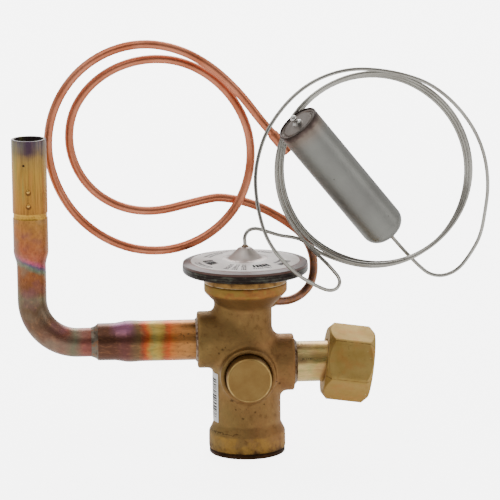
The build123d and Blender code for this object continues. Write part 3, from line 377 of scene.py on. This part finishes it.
def bulb_steel():
    """Satin bulb: even grey, brown heat tint at the welded end, a few small specks."""
    k = Paint("bulb_metal")
    cloud = k.noise(0.05, 3, 0.5)
    base = k.mix(k.span(cloud, 0.35, 0.7), col(132, 132, 127), col(122, 121, 117))
    # distance along the bulb from its welded end
    t = k.calc("ADD", k.calc("ADD", k.calc("MULTIPLY", k.calc("SUBTRACT", k.x, 28.18), 0.5974),
                             k.calc("MULTIPLY", k.calc("ADD", k.y, 11.0), 0.2386)),
               k.calc("MULTIPLY", k.calc("SUBTRACT", k.z, 183.91), -0.7656))
    wob = k.calc("MULTIPLY", k.noise(0.25, 3), 4.0)
    tint = k.ramp(k.span(k.calc("SUBTRACT", t, wob), -4.0, 12.0),
                  [(0.0, (84, 72, 68)), (0.16, (60, 50, 46)), (0.26, (96, 82, 76)), (0.36, (128, 116, 106)),
                   (0.55, (134, 126, 118)), (1.0, (130, 129, 125))])
    base = k.mix(k.span(t, 13.0, 6.0, 0, 1), base, tint)
    dots = k.calc("MULTIPLY", k.specks(0.22, 0.10, shift=(3, 1, 6)), k.span(k.noise(0.2, 2), 0.52, 0.6))
    base = k.mix(k.calc("MULTIPLY", dots, 0.8), base, col(70, 62, 58))
    fine = k.noise(1.4, 4, 0.6)
    k.bump(fine, 0.03, 0.35)
    k.bump(k.noise(0.3, 3), 0.08, 0.3)
    return k.out(base, k.calc("ADD", 0.36, k.calc("MULTIPLY", fine, 0.12)))


def head_black():
    """Lower cup: blackened rim with painted grey-green reflections; under the rim a painted reflection of the brass
    flange, with painted shade just below the rim.
    """
    k = Paint("head_steel", 0.9)
    cloud = k.noise(0.16, 4, 0.6, s=(1, 1, 2))
    # painted reflections: grey-green patches in the blackened rim
    base = k.ramp(cloud, [(0.30, (30, 24, 21)), (0.46, (44, 36, 32)), (0.58, (70, 70, 62)),
                          (0.70, (96, 98, 86))])
    rings = k.calc("SINE", k.calc("MULTIPLY", k.z, 4.4))
    base = k.mix(k.span(rings, 0.2, 0.9, 0, 0.75), base, col(16, 13, 12))
    # painted reflection: brass-brown below the rim, reflecting the brass flange
    flange_reflection = k.span(k.z, 99.6, 98.9)
    reflection_noise = k.noise(0.3, 4, 0.6)
    brass = k.ramp(reflection_noise, [(0.3, (96, 68, 38)), (0.5, (132, 98, 52)), (0.7, (160, 122, 66))])
    base = k.mix(flange_reflection, base, brass)
    # painted shade: darker just under the black rim
    scorch_and_shade = k.calc("MULTIPLY", k.span(k.z, 96.4, 99.0), flange_reflection)
    base = k.mix(k.calc("MULTIPLY", scorch_and_shade, 0.6), base, col(52, 36, 24))
    seam = k.calc("MULTIPLY", k.span(k.z, 95.75, 95.5), k.span(k.noise(0.35, 3), 0.38, 0.56, 0.1, 0.7))
    base = k.mix(seam, base, col(206, 192, 160))
    fine = k.noise(1.6, 3, 0.6)
    k.bump(fine, 0.04, 0.5)
    return k.out(base, k.calc("ADD", 0.24, k.calc("MULTIPLY", cloud, 0.2)))


def cover_steel():
    """Upper cover: satin steel, pinkish at the bevel, copper-brown edge, dark rim."""
    k = Paint("cover_steel")
    cloud = k.noise(0.12, 4, 0.5)
    base = k.mix(k.span(cloud, 0.35, 0.7), col(192, 184, 178), col(160, 148, 142))
    radius = k.calc("SQRT", k.calc("ADD", k.calc("MULTIPLY", k.x, k.x), k.calc("MULTIPLY", k.y, k.y)))
    wob = k.calc("MULTIPLY", k.calc("SUBTRACT", k.noise(0.2, 3), 0.5), 1.6)
    edge = k.ramp(k.span(k.calc("ADD", radius, wob), 29.0, 34.2),
                  [(0.0, (140, 122, 114)), (0.14, (98, 68, 56)), (0.34, (74, 40, 28)),
                   (0.66, (64, 32, 20)), (0.88, (52, 28, 18)), (1.0, (28, 18, 15))])
    k.put(k.b.inputs["Metallic"], k.span(k.calc("ADD", radius, wob), 29.8, 30.8, 1.0, 0.12))
    base = k.mix(k.span(radius, 29.0, 29.4), base, edge)
    rim = k.span(k.z, 105.95, 105.7)
    outer = k.span(radius, 33.4, 33.8)
    base = k.mix(k.calc("MULTIPLY", k.calc("MULTIPLY", rim, outer), 0.9), base, col(82, 48, 34))
    fine = k.noise(1.4, 3, 0.6)
    k.bump(fine, 0.03, 0.4)
    return k.out(base, k.calc("ADD", 0.28, k.calc("MULTIPLY", fine, 0.14)))


def braze(name="braze", stops=((0.3, (78, 60, 48)), (0.44, (122, 100, 82)), (0.56, (164, 146, 128)),
                               (0.68, (112, 86, 66)))):
    k = Paint(name)
    cloud = k.noise(0.4, 4, 0.6)
    base = k.ramp(cloud, list(stops))
    k.bump(k.noise(0.9, 3), 0.12, 0.5)
    return k.out(base, k.calc("ADD", 0.32, k.calc("MULTIPLY", cloud, 0.2)))


def film(name, tone, dark):
    """Printed plastic film, very slightly wavy and rubbed."""
    k = Paint(name, 0.0)
    cloud = k.noise(0.10, 3, 0.5)
    base = k.mix(k.span(cloud, 0.4, 0.7, 0, 0.6), col(*tone), col(*dark))
    rub = k.noise(0.9, 4, 0.65)
    base = k.mix(k.span(rub, 0.56, 0.72, 0, 0.35), base, col(140, 130, 122))
    k.bump(k.noise(0.5, 3), 0.05, 0.3)
    return k.out(base, k.calc("ADD", 0.28, k.calc("MULTIPLY", rub, 0.2)))


def rubber():
    k = Paint("seal", 0.0)
    n = k.noise(1.5, 4, 0.6)
    k.bump(n, 0.05, 0.5)
    return k.out(k.mix(n, col(24, 24, 26), col(48, 47, 46)), 0.6)


STUB = [(0.0, (104, 74, 46)), (0.05, (150, 106, 60)), (0.12, (184, 126, 68)), (0.20, (190, 126, 66)),
        (0.27, (198, 116, 52)), (0.31, (196, 88, 38)), (0.345, (168, 92, 44)), (0.375, (170, 134, 60)),
        (0.41, (182, 154, 70)), (0.445, (164, 146, 76)), (0.475, (188, 124, 52)), (0.505, (184, 84, 38)),
        (0.54, (146, 70, 42)), (0.58, (116, 88, 56)), (0.62, (110, 82, 58)), (0.67, (106, 64, 54)),
        (0.72, (104, 62, 56)), (0.80, (96, 60, 46)), (0.88, (92, 58, 42)), (0.96, (94, 62, 46)), (1.0, (72, 48, 38))]
ELBOW = [(0.0, (84, 64, 50)), (0.06, (126, 74, 58)), (0.13, (140, 82, 72)), (0.18, (112, 108, 84)),
         (0.23, (132, 78, 64)), (0.31, (120, 84, 68)), (0.40, (108, 80, 60)), (0.50, (104, 82, 60)),
         (0.555, (118, 108, 82)), (0.60, (128, 82, 50)), (0.66, (142, 84, 46)), (0.70, (146, 90, 50)),
         (0.722, (106, 122, 100)), (0.738, (98, 80, 108)), (0.752, (184, 82, 108)), (0.775, (170, 92, 66)),
         (0.84, (174, 102, 60)), (0.92, (176, 116, 58)), (1.0, (176, 126, 60))]
COUPLING = [(0.0, (158, 108, 46)), (0.10, (176, 122, 50)), (0.34, (178, 130, 54)), (0.58, (182, 140, 60)),
            (0.76, (164, 130, 70)), (0.85, (124, 104, 78)), (0.93, (104, 96, 96)), (1.0, (84, 76, 88))]
INLET = [(0.0, (150, 112, 78)), (0.12, (206, 178, 118)), (0.35, (214, 186, 120)), (0.55, (198, 164, 96)),
         (0.8, (208, 172, 104)), (1.0, (182, 130, 72))]

PAINT = {
    "forged_brass": forged_brass(),
    "plug_brass": turned_brass("plug_brass", (180, 144, 84), (146, 106, 56), "z", 0.34),
    "nut_brass": nut_brass(),
    "copper": heat_tube("copper", "x", 24, 50, INLET, (0.08, 1.2, 1.2), 0.22, 0.35, 5.0),
    "copper_heat": heat_tube("copper_heat", "path", -16, 85, ELBOW, (0.35, 1.2, 0.35), 0.32, 0.4, 5.0,
                             ((132, 122, 104), (122, 76, 88))),
    "coupling_brass": heat_tube("coupling_brass", "z", 134, 177, COUPLING, (1.1, 1.1, 0.06), 0.26, 0.5, 9.0),
    "tube_copper": drawn_copper(),
    "braze": braze(),
    "stainless": cover_steel(),
    "head_steel": head_black(),
    "bulb_metal": bulb_steel(),
    "spring_steel": steel("spring_steel", (140, 140, 142), (104, 104, 106), 0.3),
    "seal": rubber(),
    "gasket": steel("gasket", (150, 140, 128), (104, 92, 80), 0.45),
    "label_film": film("label_film", (228, 220, 214), (182, 172, 166)),
    "bar_film": film("bar_film", (228, 228, 226), (212, 212, 208)),
}
STUB_PAINT = heat_tube("stub_heat", "-x", 24, 84, STUB, (0.25, 0.9, 0.9), 0.28, 0.4, 7.5)
def plug_face():
    """Turned face of the check plug, with a painted highlight line round its edge and painted shade on its side."""
    k = Paint("check_plug_brass")
    cloud = k.noise(0.14, 4, 0.55, shift=(2, 2, 2))
    base = k.mix(k.span(cloud, 0.35, 0.7), col(152, 122, 72), col(138, 106, 60))
    across = k.calc("SQRT", k.calc("ADD", k.calc("POWER", k.x, 2.0), k.calc("POWER", k.calc("ADD", k.z, -46.3), 2.0)))
    rings = k.calc("SINE", k.calc("MULTIPLY", across, 7.0))
    base = k.mix(k.span(rings, 0.2, 1.0, 0, 0.08), base, col(110, 80, 42))
    # painted highlight: a bright line round the edge of the face, broken by noise
    line = k.calc("MULTIPLY", k.span(across, 11.35, 11.6), k.span(across, 12.05, 11.85))
    line = k.calc("MULTIPLY", line, k.span(k.noise(0.2, 3), 0.42, 0.60, 0.15, 0.8))
    base = k.mix(line, base, col(206, 178, 112))
    # painted shade: the side wall behind the face darker
    side = k.span(k.y, -28.0, -27.0)
    base = k.mix(k.calc("MULTIPLY", side, 0.5), base, col(96, 68, 36))
    fine = k.noise(1.3, 3, 0.6)
    k.bump(fine, 0.05, 0.4)
    return k.out(base, k.calc("ADD", 0.42, k.calc("MULTIPLY", fine, 0.12)))


PLUG_PAINT = plug_face()
def capillary_paint():
    """Bright-drawn thin tube: smooth, with slow changes of tone."""
    k = Paint("capillary_steel")
    cloud = k.noise(0.05, 2, 0.5)
    base = k.mix(k.span(cloud, 0.35, 0.7), col(172, 170, 162), col(146, 142, 134))
    return k.out(base, k.span(cloud, 0.3, 0.7, 0.24, 0.30))


CAP_PAINT = capillary_paint()
ink = Paint("ink", 0.0)
ink.b.inputs["Specular IOR Level"].default_value = 0.15
INK = ink.out(ink.mix(ink.noise(0.8, 3), col(10, 10, 11), col(34, 32, 32)), 0.7)

slots = {s["node"]: s["material_slot"] for s in frame["record"]["subparts"]}


def dress(obj, mat):
    obj.data.materials.clear()
    obj.data.materials.append(mat)


for name, obj in NODES.items():
    dress(obj, PAINT[slots[name]])
dress(NODES["outlet_stub"], STUB_PAINT)
dress(NODES["coupling_braze"], braze("gold_braze", ((0.3, (168, 118, 46)), (0.5, (206, 160, 72)),
                                                    (0.7, (190, 140, 60)))))
dress(NODES["reducer_braze"], braze("dull_braze", ((0.3, (92, 74, 60)), (0.5, (112, 104, 92)),
                                                   (0.7, (140, 96, 66)))))
dress(NODES["equaliser_braze"], braze("brown_braze", ((0.3, (96, 66, 38)), (0.5, (142, 104, 58)),
                                                      (0.7, (120, 82, 44)))))
dress(NODES["bottom_plug"], turned_brass("foot_brass", (66, 44, 30), (36, 26, 20), "z", 0.45))
dress(NODES["bottom_gasket"], steel("foot_gasket", (74, 50, 34), (46, 34, 26), 0.55))
dress(NODES["front_plug"], PLUG_PAINT)
dress(NODES["bulb_end_cap"], steel("cap_steel", (128, 120, 114), (92, 82, 76), 0.3))
dress(NODES["bulb_fill_tip"], steel("tip_steel", (206, 204, 200), (168, 162, 156), 0.14))


# ---------------------------------------------------------------------------
# Geometry helpers
# ---------------------------------------------------------------------------
def mesh_object(name, verts, faces, mat, smooth=True):
    me = bpy.data.meshes.new(name)
    me.from_pydata([tuple(v) for v in verts], [], faces)
    me.update()
    if smooth:
        me.polygons.foreach_set("use_smooth", [True] * len(me.polygons))
    ob = bpy.data.objects.new(name, me)
    bpy.context.scene.collection.objects.link(ob)
    me.materials.append(mat)
    return ob


def tube_curve(name, pts, radius, mat, caps=False, res=5):
    cu = bpy.data.curves.new(name, "CURVE")
    cu.dimensions = "3D"
    cu.bevel_depth = radius * MM
    cu.bevel_resolution = 7
    cu.resolution_u = res
    cu.use_fill_caps = caps
    sp = cu.splines.new("NURBS")
    sp.points.add(len(pts) - 1)
    for q, p in zip(sp.points, pts):
        q.co = (p[0] * MM, p[1] * MM, p[2] * MM, 1)
    sp.order_u = 3
    sp.use_endpoint_u = True
    cu.materials.append(mat)
    ob = bpy.data.objects.new(name, cu)
    bpy.context.scene.collection.objects.link(ob)
    return ob


def lathe(name, origin, axis, profile, mat, steps=72):
    """Surface turned about an axis; profile is (distance along it, radius) in mm."""
    a = Vector(axis).normalized()
    u = a.orthogonal().normalized()
    v = a.cross(u)
    verts, faces = [], []
    for s, r in profile:
        for k in range(steps):
            t = 2 * math.pi * k / steps
            verts.append((Vector(origin) + a * s + (u * math.cos(t) + v * math.sin(t)) * r) * MM)
    for i in range(len(profile) - 1):
        for k in range(steps):
            n = (k + 1) % steps
            faces.append((i * steps + k, i * steps + n, (i + 1) * steps + n, (i + 1) * steps + k))
    return mesh_object(name, verts, faces, mat)


# ---------------------------------------------------------------------------
# Body: the CAD solid with its forged blends
# ---------------------------------------------------------------------------
def smooth_body():
    src = NODES["valve_body"]
    tmp = src.copy()
    tmp.data = src.data.copy()
    bpy.context.scene.collection.objects.link(tmp)
    mod = tmp.modifiers.new("vox", "REMESH")
    mod.mode = "VOXEL"
    mod.voxel_size = 0.62 * MM
    mod.use_smooth_shade = True
    dg = bpy.context.evaluated_depsgraph_get()
    me = bpy.data.meshes.new_from_object(tmp.evaluated_get(dg))
    bpy.data.objects.remove(tmp)
    n = len(me.vertices)
    co = np.empty(n * 3)
    me.vertices.foreach_get("co", co)
    P = co.reshape(-1, 3) * 1000.0
    ed = np.empty(len(me.edges) * 2, dtype=np.int64)
    me.edges.foreach_get("vertices", ed)
    ed = ed.reshape(-1, 2)
    deg = np.bincount(ed.ravel(), minlength=n).astype(float)

    x, y, z = P[:, 0], P[:, 1], P[:, 2]
    rb = np.hypot(x, y)
    barrel = np.abs(rb - np.interp(z, [16.8, 57, 66.5, 79], [18.55, 18.55, 14.2, 14.2]))
    web = np.where(x < -3, np.abs(np.hypot(x + 5.4, y) - 12.0), 9)
    barrel = np.where(z > 64, np.minimum(barrel, web), barrel)
    right = np.where(x > 2, np.abs(np.hypot(y, z - 49.6) - 15.6), 9)
    left = np.where(x < 4, np.abs(np.hypot(y, z - 63.2) - 15.6), 9)
    front = np.where(y < -2, np.abs(np.hypot(x, z - 46.3) - 15.2), 9)

    def near(a, b, lo=1.2, hi=4.2):
        d = np.maximum(a, b)
        t = np.clip((hi - d) / (hi - lo), 0, 1)
        return t * t * (3 - 2 * t)

    w = np.maximum.reduce([near(barrel, right), near(barrel, left), near(right, left),
                           near(barrel, front, 0.6, 2.6), near(right, front, 0.8, 3.0),
                           near(left, front, 0.8, 3.0)])
    shoulder = np.clip(1 - np.abs(z - 57.0) / 4.0, 0, 1) * (barrel < 2.5)
    neck = np.clip(1 - np.abs(z - 67.0) / 4.0, 0, 1) * (barrel < 2.5)
    w = np.maximum(w, np.maximum(shoulder, neck) * 0.9)
    keep = np.ones(n)
    keep[(x > 23.5) | (x < -24.2)] = 0
    keep[(y < -19.2) & (np.hypot(x, z - 46.3) < 15.6)] = 0
    keep[(rb > 22) | (z > 86) | (z < 15)] = 0
    inside = (np.hypot(y, z - 49.6) < 11.6) & (x > 5) | (np.hypot(y, z - 63.2) < 11.6) & (x < -5)
    keep[inside | (rb < 12.2)] = 0
    w = w * keep
    Q = P.copy()
    for k in range(46):
        acc = np.zeros_like(Q)
        np.add.at(acc, ed[:, 0], Q[ed[:, 1]])
        np.add.at(acc, ed[:, 1], Q[ed[:, 0]])
        mean = acc / deg[:, None]
        Q += (mean - Q) * (0.62 * w)[:, None]
    # light overall pass to take the voxel steps off
    for k in range(3):
        acc = np.zeros_like(Q)
        np.add.at(acc, ed[:, 0], Q[ed[:, 1]])
        np.add.at(acc, ed[:, 1], Q[ed[:, 0]])
        Q += (acc / deg[:, None] - Q) * 0.35
    # remeshing narrows the small bores, so they are opened again round the rods
    for rod in ("push_rod_front", "push_rod_rear"):
        lo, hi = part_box(rod)
        cx, cy, room = (lo[0] + hi[0]) * 500, (lo[1] + hi[1]) * 500, (hi[0] - lo[0]) * 500 + 0.25
        away = np.hypot(Q[:, 0] - cx, Q[:, 1] - cy)
        tight = (away < room) & (Q[:, 2] > lo[2] * 1000 - 1) & (Q[:, 2] < hi[2] * 1000 + 1)
        push = np.where(tight, room / np.maximum(away, 1e-6), 1.0)
        Q[:, 0] = cx + (Q[:, 0] - cx) * push
        Q[:, 1] = cy + (Q[:, 1] - cy) * push
    me.vertices.foreach_set("co", (Q / 1000.0).ravel())
    me.polygons.foreach_set("use_smooth", [True] * len(me.polygons))
    me.update()
    me.materials.clear()
    me.materials.append(PAINT["forged_brass"])
    ob = bpy.data.objects.new("body_forging", me)
    bpy.context.scene.collection.objects.link(ob)
    print("body_forging faces", len(me.polygons))
    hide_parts("valve_body")
    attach(ob, "valve")
    return ob


body = smooth_body()

# copy of the superheat spring on a mesh of its own, riding with the valve body; the real spring shortens from its fixed
# lower end as the valve opens
coil_mesh = NODES["superheat_spring"].data.copy()
coil_mesh.transform(NODES["superheat_spring"].matrix_world)
coil = bpy.data.objects.new("spring_coil", coil_mesh)
bpy.context.scene.collection.objects.link(coil)
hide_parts("superheat_spring")
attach(coil, "valve")
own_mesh(coil)

# Centre lines of the two thin tubes: corners of their straight runs.
EQ_ROUTE = [
    (8.2, 3.7, 82.9), (14.6, 6.6, 82.3), (22.13, 9.88, 81.33), (27.41, 12.37, 82.06),
    (32.05, 15.33, 84), (35.8, 16.97, 87.51), (38.15, 19.03, 92.05), (39.06, 20.88, 98.22),
    (38.47, 22.08, 105.16), (35.96, 22.63, 111.61), (31.6, 23.05, 117.22), (25.5, 23, 122.27),
    (18.27, 23.01, 127.07), (10.8, 22.9, 131.24), (3.71, 22.81, 134.18), (-3.42, 22.61, 136.28),
    (-10.64, 22.3, 137.56), (-16.22, 22.01, 137.68), (-31.2, 21.65, 134.35), (-44.08, 21.37, 131.35),
    (-56.87, 21.09, 131.18), (-69.67, 20.81, 134.81), (-81.58, 20.52, 142.63), (-90.69, 20.24, 154.99),
    (-94.99, 19.96, 170.88), (-92.37, 19.67, 187.9), (-82.44, 19.39, 202.15), (-68.08, 19.11, 211.75),
    (-51.24, 18.83, 216.1), (-33.39, 18.54, 214.71), (-16.9, 18.26, 206.37), (-3.65, 17.98, 192.53),
    (4.46, 17.69, 174.15), (4.74, 17.41, 153.42), (-2.58, 17.13, 133.48), (-17.58, 16.84, 118.21),
    (-37.2, 16.56, 109.87), (-58.32, 16.28, 110.06), (-77.54, 15.99, 117.97), (-92.83, 15.71, 131.65),
    (-102.81, 15.43, 149.56), (-106.77, 15.14, 169.96), (-102.7, 14.86, 190.56), (-91.51, 14.58, 208.34),
    (-74.54, 14.29, 220.58), (-54.34, 14.01, 225.53), (-34.15, 13.73, 221.93), (-16.65, 13.44, 212.05),
    (-1.72, 13.11, 197.51), (9.92, 13.28, 181.81), (14.19, 13.6, 176.6), (24.79, 13.8, 163.68),
]
CAP_ROUTE = [
    (0, 0, 112.2), (0, 0, 116.6), (-0.35, 0.06, 119.05), (0.55, 0.47, 121.86),
    (2.77, 1.06, 123.77), (6.39, 1.94, 124.14), (11.74, 3.4, 122.12), (19.24, 4.77, 119.18),
    (25.56, 6.4, 118.02), (31.7, 8.09, 116), (36.97, 8.98, 111.51), (44.28, 9.24, 106.27),
    (65.25, 9.06, 99.19), (85.67, 8.93, 100.87), (103.44, 8.8, 110.34), (115.83, 8.67, 125.65),
    (121.8, 8.54, 143.94), (121.44, 8.41, 162.89), (114.6, 8.28, 180.4), (102.28, 8.15, 194.34),
    (86.23, 8.02, 203.65), (67.83, 7.89, 206.54), (49.53, 7.76, 202.5), (33.94, 7.63, 191.76),
    (23.9, 7.5, 175.54), (20.28, 7.37, 156.75), (23.16, 7.24, 137.6), (32.69, 7.11, 120.37),
    (48.24, 6.98, 108.26), (66.87, 6.85, 101.96), (86.65, 6.72, 102.91), (104.29, 6.59, 111.95),
    (116.94, 6.46, 127.05), (123.15, 6.33, 145.62), (122.28, 6.2, 165.08), (114.75, 6.07, 182.87),
    (101.69, 5.94, 196.85), (84.83, 5.81, 205.68), (65.95, 5.68, 207.68), (47.69, 5.55, 202.66),
    (32.24, 5.42, 191.43), (22.04, 5.29, 174.94), (18.4, 5.16, 155.58), (21.79, 5.03, 135.79),
    (32.26, 4.9, 118.27), (48.77, 4.77, 106.27), (68.28, 4.64, 101.07), (88.24, 4.51, 103.23),
    (105.53, 4.38, 113.17), (118.24, 4.25, 128.41), (124.51, 4.12, 147.39), (123.05, 3.99, 167.34),
    (114.81, 3.86, 185.39), (101, 3.73, 199.36), (83.33, 3.6, 207.62), (64.05, 3.47, 208.7),
    (45.86, 3.34, 202.75), (30.5, 3.21, 191.08), (20.14, 3.08, 174.26), (16.53, 2.95, 154.3),
    (20.45, 2.82, 133.89), (32.33, 3.02, 115.62), (44.17, 0.07, 104.52), (47.39, -3.23, 101.1),
    (50.38, -6.23, 97.85), (51.07, -8.97, 94.85), (48.87, -11.95, 92.21), (44.57, -15.27, 92.04),
    (39.02, -19.76, 95.02), (32.48, -24.63, 99.65), (27.59, -28.25, 103.42), (21.92, -31.73, 108.91),
    (16.62, -33.25, 115), (11.91, -32.73, 121.67), (8.52, -31.28, 128.94), (5.98, -29.23, 138.62),
    (4.59, -27, 148.65), (4.42, -24.77, 158.57), (6.24, -22.77, 168.36), (10.04, -21.03, 179.62),
    (16.56, -18.97, 189.71), (24.99, -17.23, 199.08), (35.3, -15.2, 206.45), (46.79, -13.2, 210.98),
    (59.33, -11.23, 212.96), (73.21, -8.97, 211.65), (86.35, -7, 208.57), (99.13, -5, 203.67),
    (110.16, -3, 195.53), (120.05, -1, 184.67), (127.51, 1, 172.24), (132.07, 3, 158.51),
    (133.61, 5, 143.4), (132.1, 7, 129.69), (129.89, 9.03, 115.49), (124.0, 10.88, 104.51),
    (117.81, 12.08, 96.2), (109.71, 12.63, 92.71), (102.42, 13.03, 93.76), (97.39, 13.25, 97.73),
    (90, 13.16, 105.42), (83.11, 11.53, 113.53), (78.92, 9.26, 118.89),
]

eq = tube_curve("equaliser_line", EQ_ROUTE, 2.38, PAINT["tube_copper"])
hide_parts("equaliser_tube")
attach(eq, "valve")
end, prev = Vector(EQ_ROUTE[-1]), Vector(EQ_ROUTE[-2])
way = (end - prev).normalized()
sock = lathe("equaliser_socket", end, way,
             [(-14.2, 2.39), (-13.4, 2.7), (-12.6, 2.98), (-0.2, 3.0), (0, 2.9), (0, 2.43), (-12, 2.41),
              (-12.2, 1.6), (-16, 1.58)], PAINT["tube_copper"], 48)
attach(sock, "valve")
cap = tube_curve("capillary_line", CAP_ROUTE, 1.0, CAP_PAINT)
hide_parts("capillary_tube")
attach(cap, "valve")

# the union nut's thread: one raised helix on its plain bore
nut_centre = np.array([55.6, 0.0, 48.2])
tilt = math.radians(8.0)
nut_axis = np.array([math.cos(tilt), 0.0, -math.sin(tilt)])
nut_up = np.array([math.sin(tilt), 0.0, math.cos(tilt)])
nut_side = np.cross(nut_axis, nut_up)
verts, faces = [], []
PITCH, PER_TURN, START, END = 1.6, 72, 3.4, 10.6
steps = int((END - START) / PITCH * PER_TURN)
for i in range(steps + 1):
    t = 2 * math.pi * i / PER_TURN
    along = START + PITCH * i / PER_TURN
    out = nut_side * math.cos(t) + nut_up * math.sin(t)
    fade = min(1.0, i / 18.0, (steps - i) / 18.0)
    for da, r in ((-0.66, 14.78), (0.0, 14.78 - 0.72 * max(fade, 0.05)), (0.66, 14.78)):
        verts.append(tuple((nut_centre + nut_axis * (along + da) + out * r) * MM))
for i in range(steps):
    q = i * 3
    for a, b in ((0, 1), (1, 2), (2, 0)):
        faces.append((q + a, q + b, q + 3 + b, q + 3 + a))
faces += [(2, 1, 0), (steps * 3, steps * 3 + 1, steps * 3 + 2)]
thread = mesh_object("nut_thread", verts, faces, PAINT["nut_brass"], False)
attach(thread, "nut")

# generic print on the head label: rows of short bars, no lettering
COVER = ((12.4, 108.14), (27.5, 107.02), (29.6, 106.94))


def cover_z(r):
    return float(np.interp(r, [c[0] for c in COVER], [c[1] for c in COVER]))


def print_bar(verts, faces, r0, r1, a0, a1):
    """One printed bar on the cover between two radii and two angles (degrees, 0 = +X, 90 = -Y)."""
    steps = 3
    base = len(verts)
    for i in range(steps + 1):
        t = math.radians(a0 + (a1 - a0) * i / steps)
        for r in (r0, r1):
            verts.append((r * math.cos(t) * MM, -r * math.sin(t) * MM, (cover_z(r) + 0.03) * MM))
    for i in range(steps):
        q = base + i * 2
        faces.append((q, q + 2, q + 3, q + 1))


rng = np.random.default_rng(7)
verts, faces = [], []


def print_row(r0, r1, a0, a1, count, fill=0.6):
    pitch = (a1 - a0) / count
    for i in range(count):
        wide = pitch * fill * float(rng.uniform(0.7, 1.2))
        print_bar(verts, faces, r0, r1, a0 + pitch * i, a0 + pitch * i + wide)


print_row(18.0, 23.4, 146, 178, 7, 0.8)
print_row(25.4, 26.8, 136, 170, 14, 0.62)
print_row(27.4, 28.2, 138, 172, 18, 0.6)
for a in (114, 103, 92):
    for r in (16.6, 19.2, 21.8, 24.4):
        print_row(r, r + 1.6, a, a + 7.5, 3, 0.74)
print_row(17.6, 22.4, 54, 84, 5, 0.78)
print_row(23.6, 25.2, 58, 84, 9, 0.66)
print_row(18.6, 20.4, 8, 42, 8, 0.66)
print_row(21.8, 25.2, 14, 44, 5, 0.7)
print_row(19.0, 20.8, 196, 236, 10, 0.6)
print_row(22.0, 24.0, 200, 250, 12, 0.6)
print_row(19.6, 22.4, 268, 318, 10, 0.66)
marks = mesh_object("label_print", verts, faces, INK, False)
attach(marks, "valve")

# bars on the side label
verts, faces = [], []
z0 = 21.0
while z0 < 43.0:
    tall = float(rng.choice([0.35, 0.35, 0.7, 1.05]))
    base = len(verts)
    for i in range(9):
        t = math.radians(-(155.0 + 58.0 * i / 8))
        for z in (z0, z0 + tall):
            verts.append((18.745 * math.cos(t) * MM, 18.745 * math.sin(t) * MM, z * MM))
    for i in range(8):
        q = base + i * 2
        faces.append((q, q + 1, q + 3, q + 2))
    z0 += tall + float(rng.choice([0.4, 0.4, 0.8]))
bars = mesh_object("side_label_bars", verts, faces, INK, False)
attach(bars, "valve")

# ---------------------------------------------------------------------------
# Studio
# ---------------------------------------------------------------------------
scene = bpy.context.scene


def area(name, at, aim, size, watts, tint=(1, 1, 1), size_y=None):
    li = bpy.data.lights.new(name, "AREA")
    li.energy = watts
    li.color = tint
    li.size = size
    if size_y:
        li.shape = "RECTANGLE"
        li.size_y = size_y
    ob = bpy.data.objects.new(name, li)
    scene.collection.objects.link(ob)
    ob.location = at
    ob.rotation_euler = (Vector(aim) - Vector(at)).to_track_quat("-Z", "Y").to_euler()
    return ob


area("key", (-0.7, -0.9, 1.7), (0, 0, 0.10), 1.0, 7)
area("fill", (1.5, -0.5, 0.7), (0, 0, 0.08), 0.9, 4)
area("back", (0.2, 1.8, 1.4), (0, 0, 0.10), 1.4, 30)

world = bpy.data.worlds.new("studio")
scene.world = world
world.use_nodes = True
wn, wl = world.node_tree.nodes, world.node_tree.links
bg = wn["Background"]
tc = wn.new("ShaderNodeTexCoord")
sp = wn.new("ShaderNodeSeparateXYZ")
wl.new(tc.outputs["Generated"], sp.inputs[0])


def world_span(sock, lo, hi, a, b):
    n = wn.new("ShaderNodeMapRange")
    n.interpolation_type = "SMOOTHSTEP"
    wl.new(sock, n.inputs["Value"])
    for key, val in (("From Min", lo), ("From Max", hi), ("To Min", a), ("To Max", b)):
        n.inputs[key].default_value = val
    return n.outputs["Result"]


# bright tent all round, dark room behind the camera
dark = world_span(sp.outputs["Y"], -0.10, -0.80, 0.9, 0.17)
sky = world_span(sp.outputs["Z"], -0.1, 0.9, 0.85, 1.15)
mul = wn.new("ShaderNodeMath")
mul.operation = "MULTIPLY"
wl.new(dark, mul.inputs[0])
wl.new(sky, mul.inputs[1])
wl.new(mul.outputs[0], bg.inputs["Strength"])
bg.inputs["Color"].default_value = (1.0, 0.995, 0.985, 1)

fl = mesh_object("floor", [(-6, -4, -0.0002), (6, -4, -0.0002), (6, 8, -0.0002), (-6, 8, -0.0002)],
                 [(0, 1, 2, 3)], PAINT["label_film"], False)
fm = Paint("floor_white", 0.0)
fl.data.materials.clear()
fm.b.inputs["Emission Color"].default_value = (1, 1, 1, 1)
path = fm.t.nodes.new("ShaderNodeLightPath")
fm.t.links.new(fm.calc("ADD", fm.calc("MULTIPLY", path.outputs["Is Camera Ray"], 4.8), 0.35),
                fm.b.inputs["Emission Strength"])
fl.data.materials.append(fm.out((0.9, 0.9, 0.9), 0.9))

# camera at the photo's angle
target = Vector((2.6656, 0, 112.4763)) * MM
eye = Vector((-110.03, -1954.49, 521.47)) * MM
fwd = (target - eye).normalized()
right0 = fwd.cross(Vector((0, 0, 1))).normalized()
up0 = right0.cross(fwd)
roll = math.radians(0.62)
R = right0 * math.cos(roll) - up0 * math.sin(roll)
U = right0 * math.sin(roll) + up0 * math.cos(roll)
cam = bpy.data.objects.new("camera", bpy.data.cameras.new("camera"))
scene.collection.objects.link(cam)
cam.data.sensor_width = 36.0
cam.data.lens = 264.7
cam.data.clip_end = 50
cam.matrix_world = Matrix(((R.x, U.x, -fwd.x, eye.x), (R.y, U.y, -fwd.y, eye.y),
                           (R.z, U.z, -fwd.z, eye.z), (0, 0, 0, 1)))
scene.camera = cam
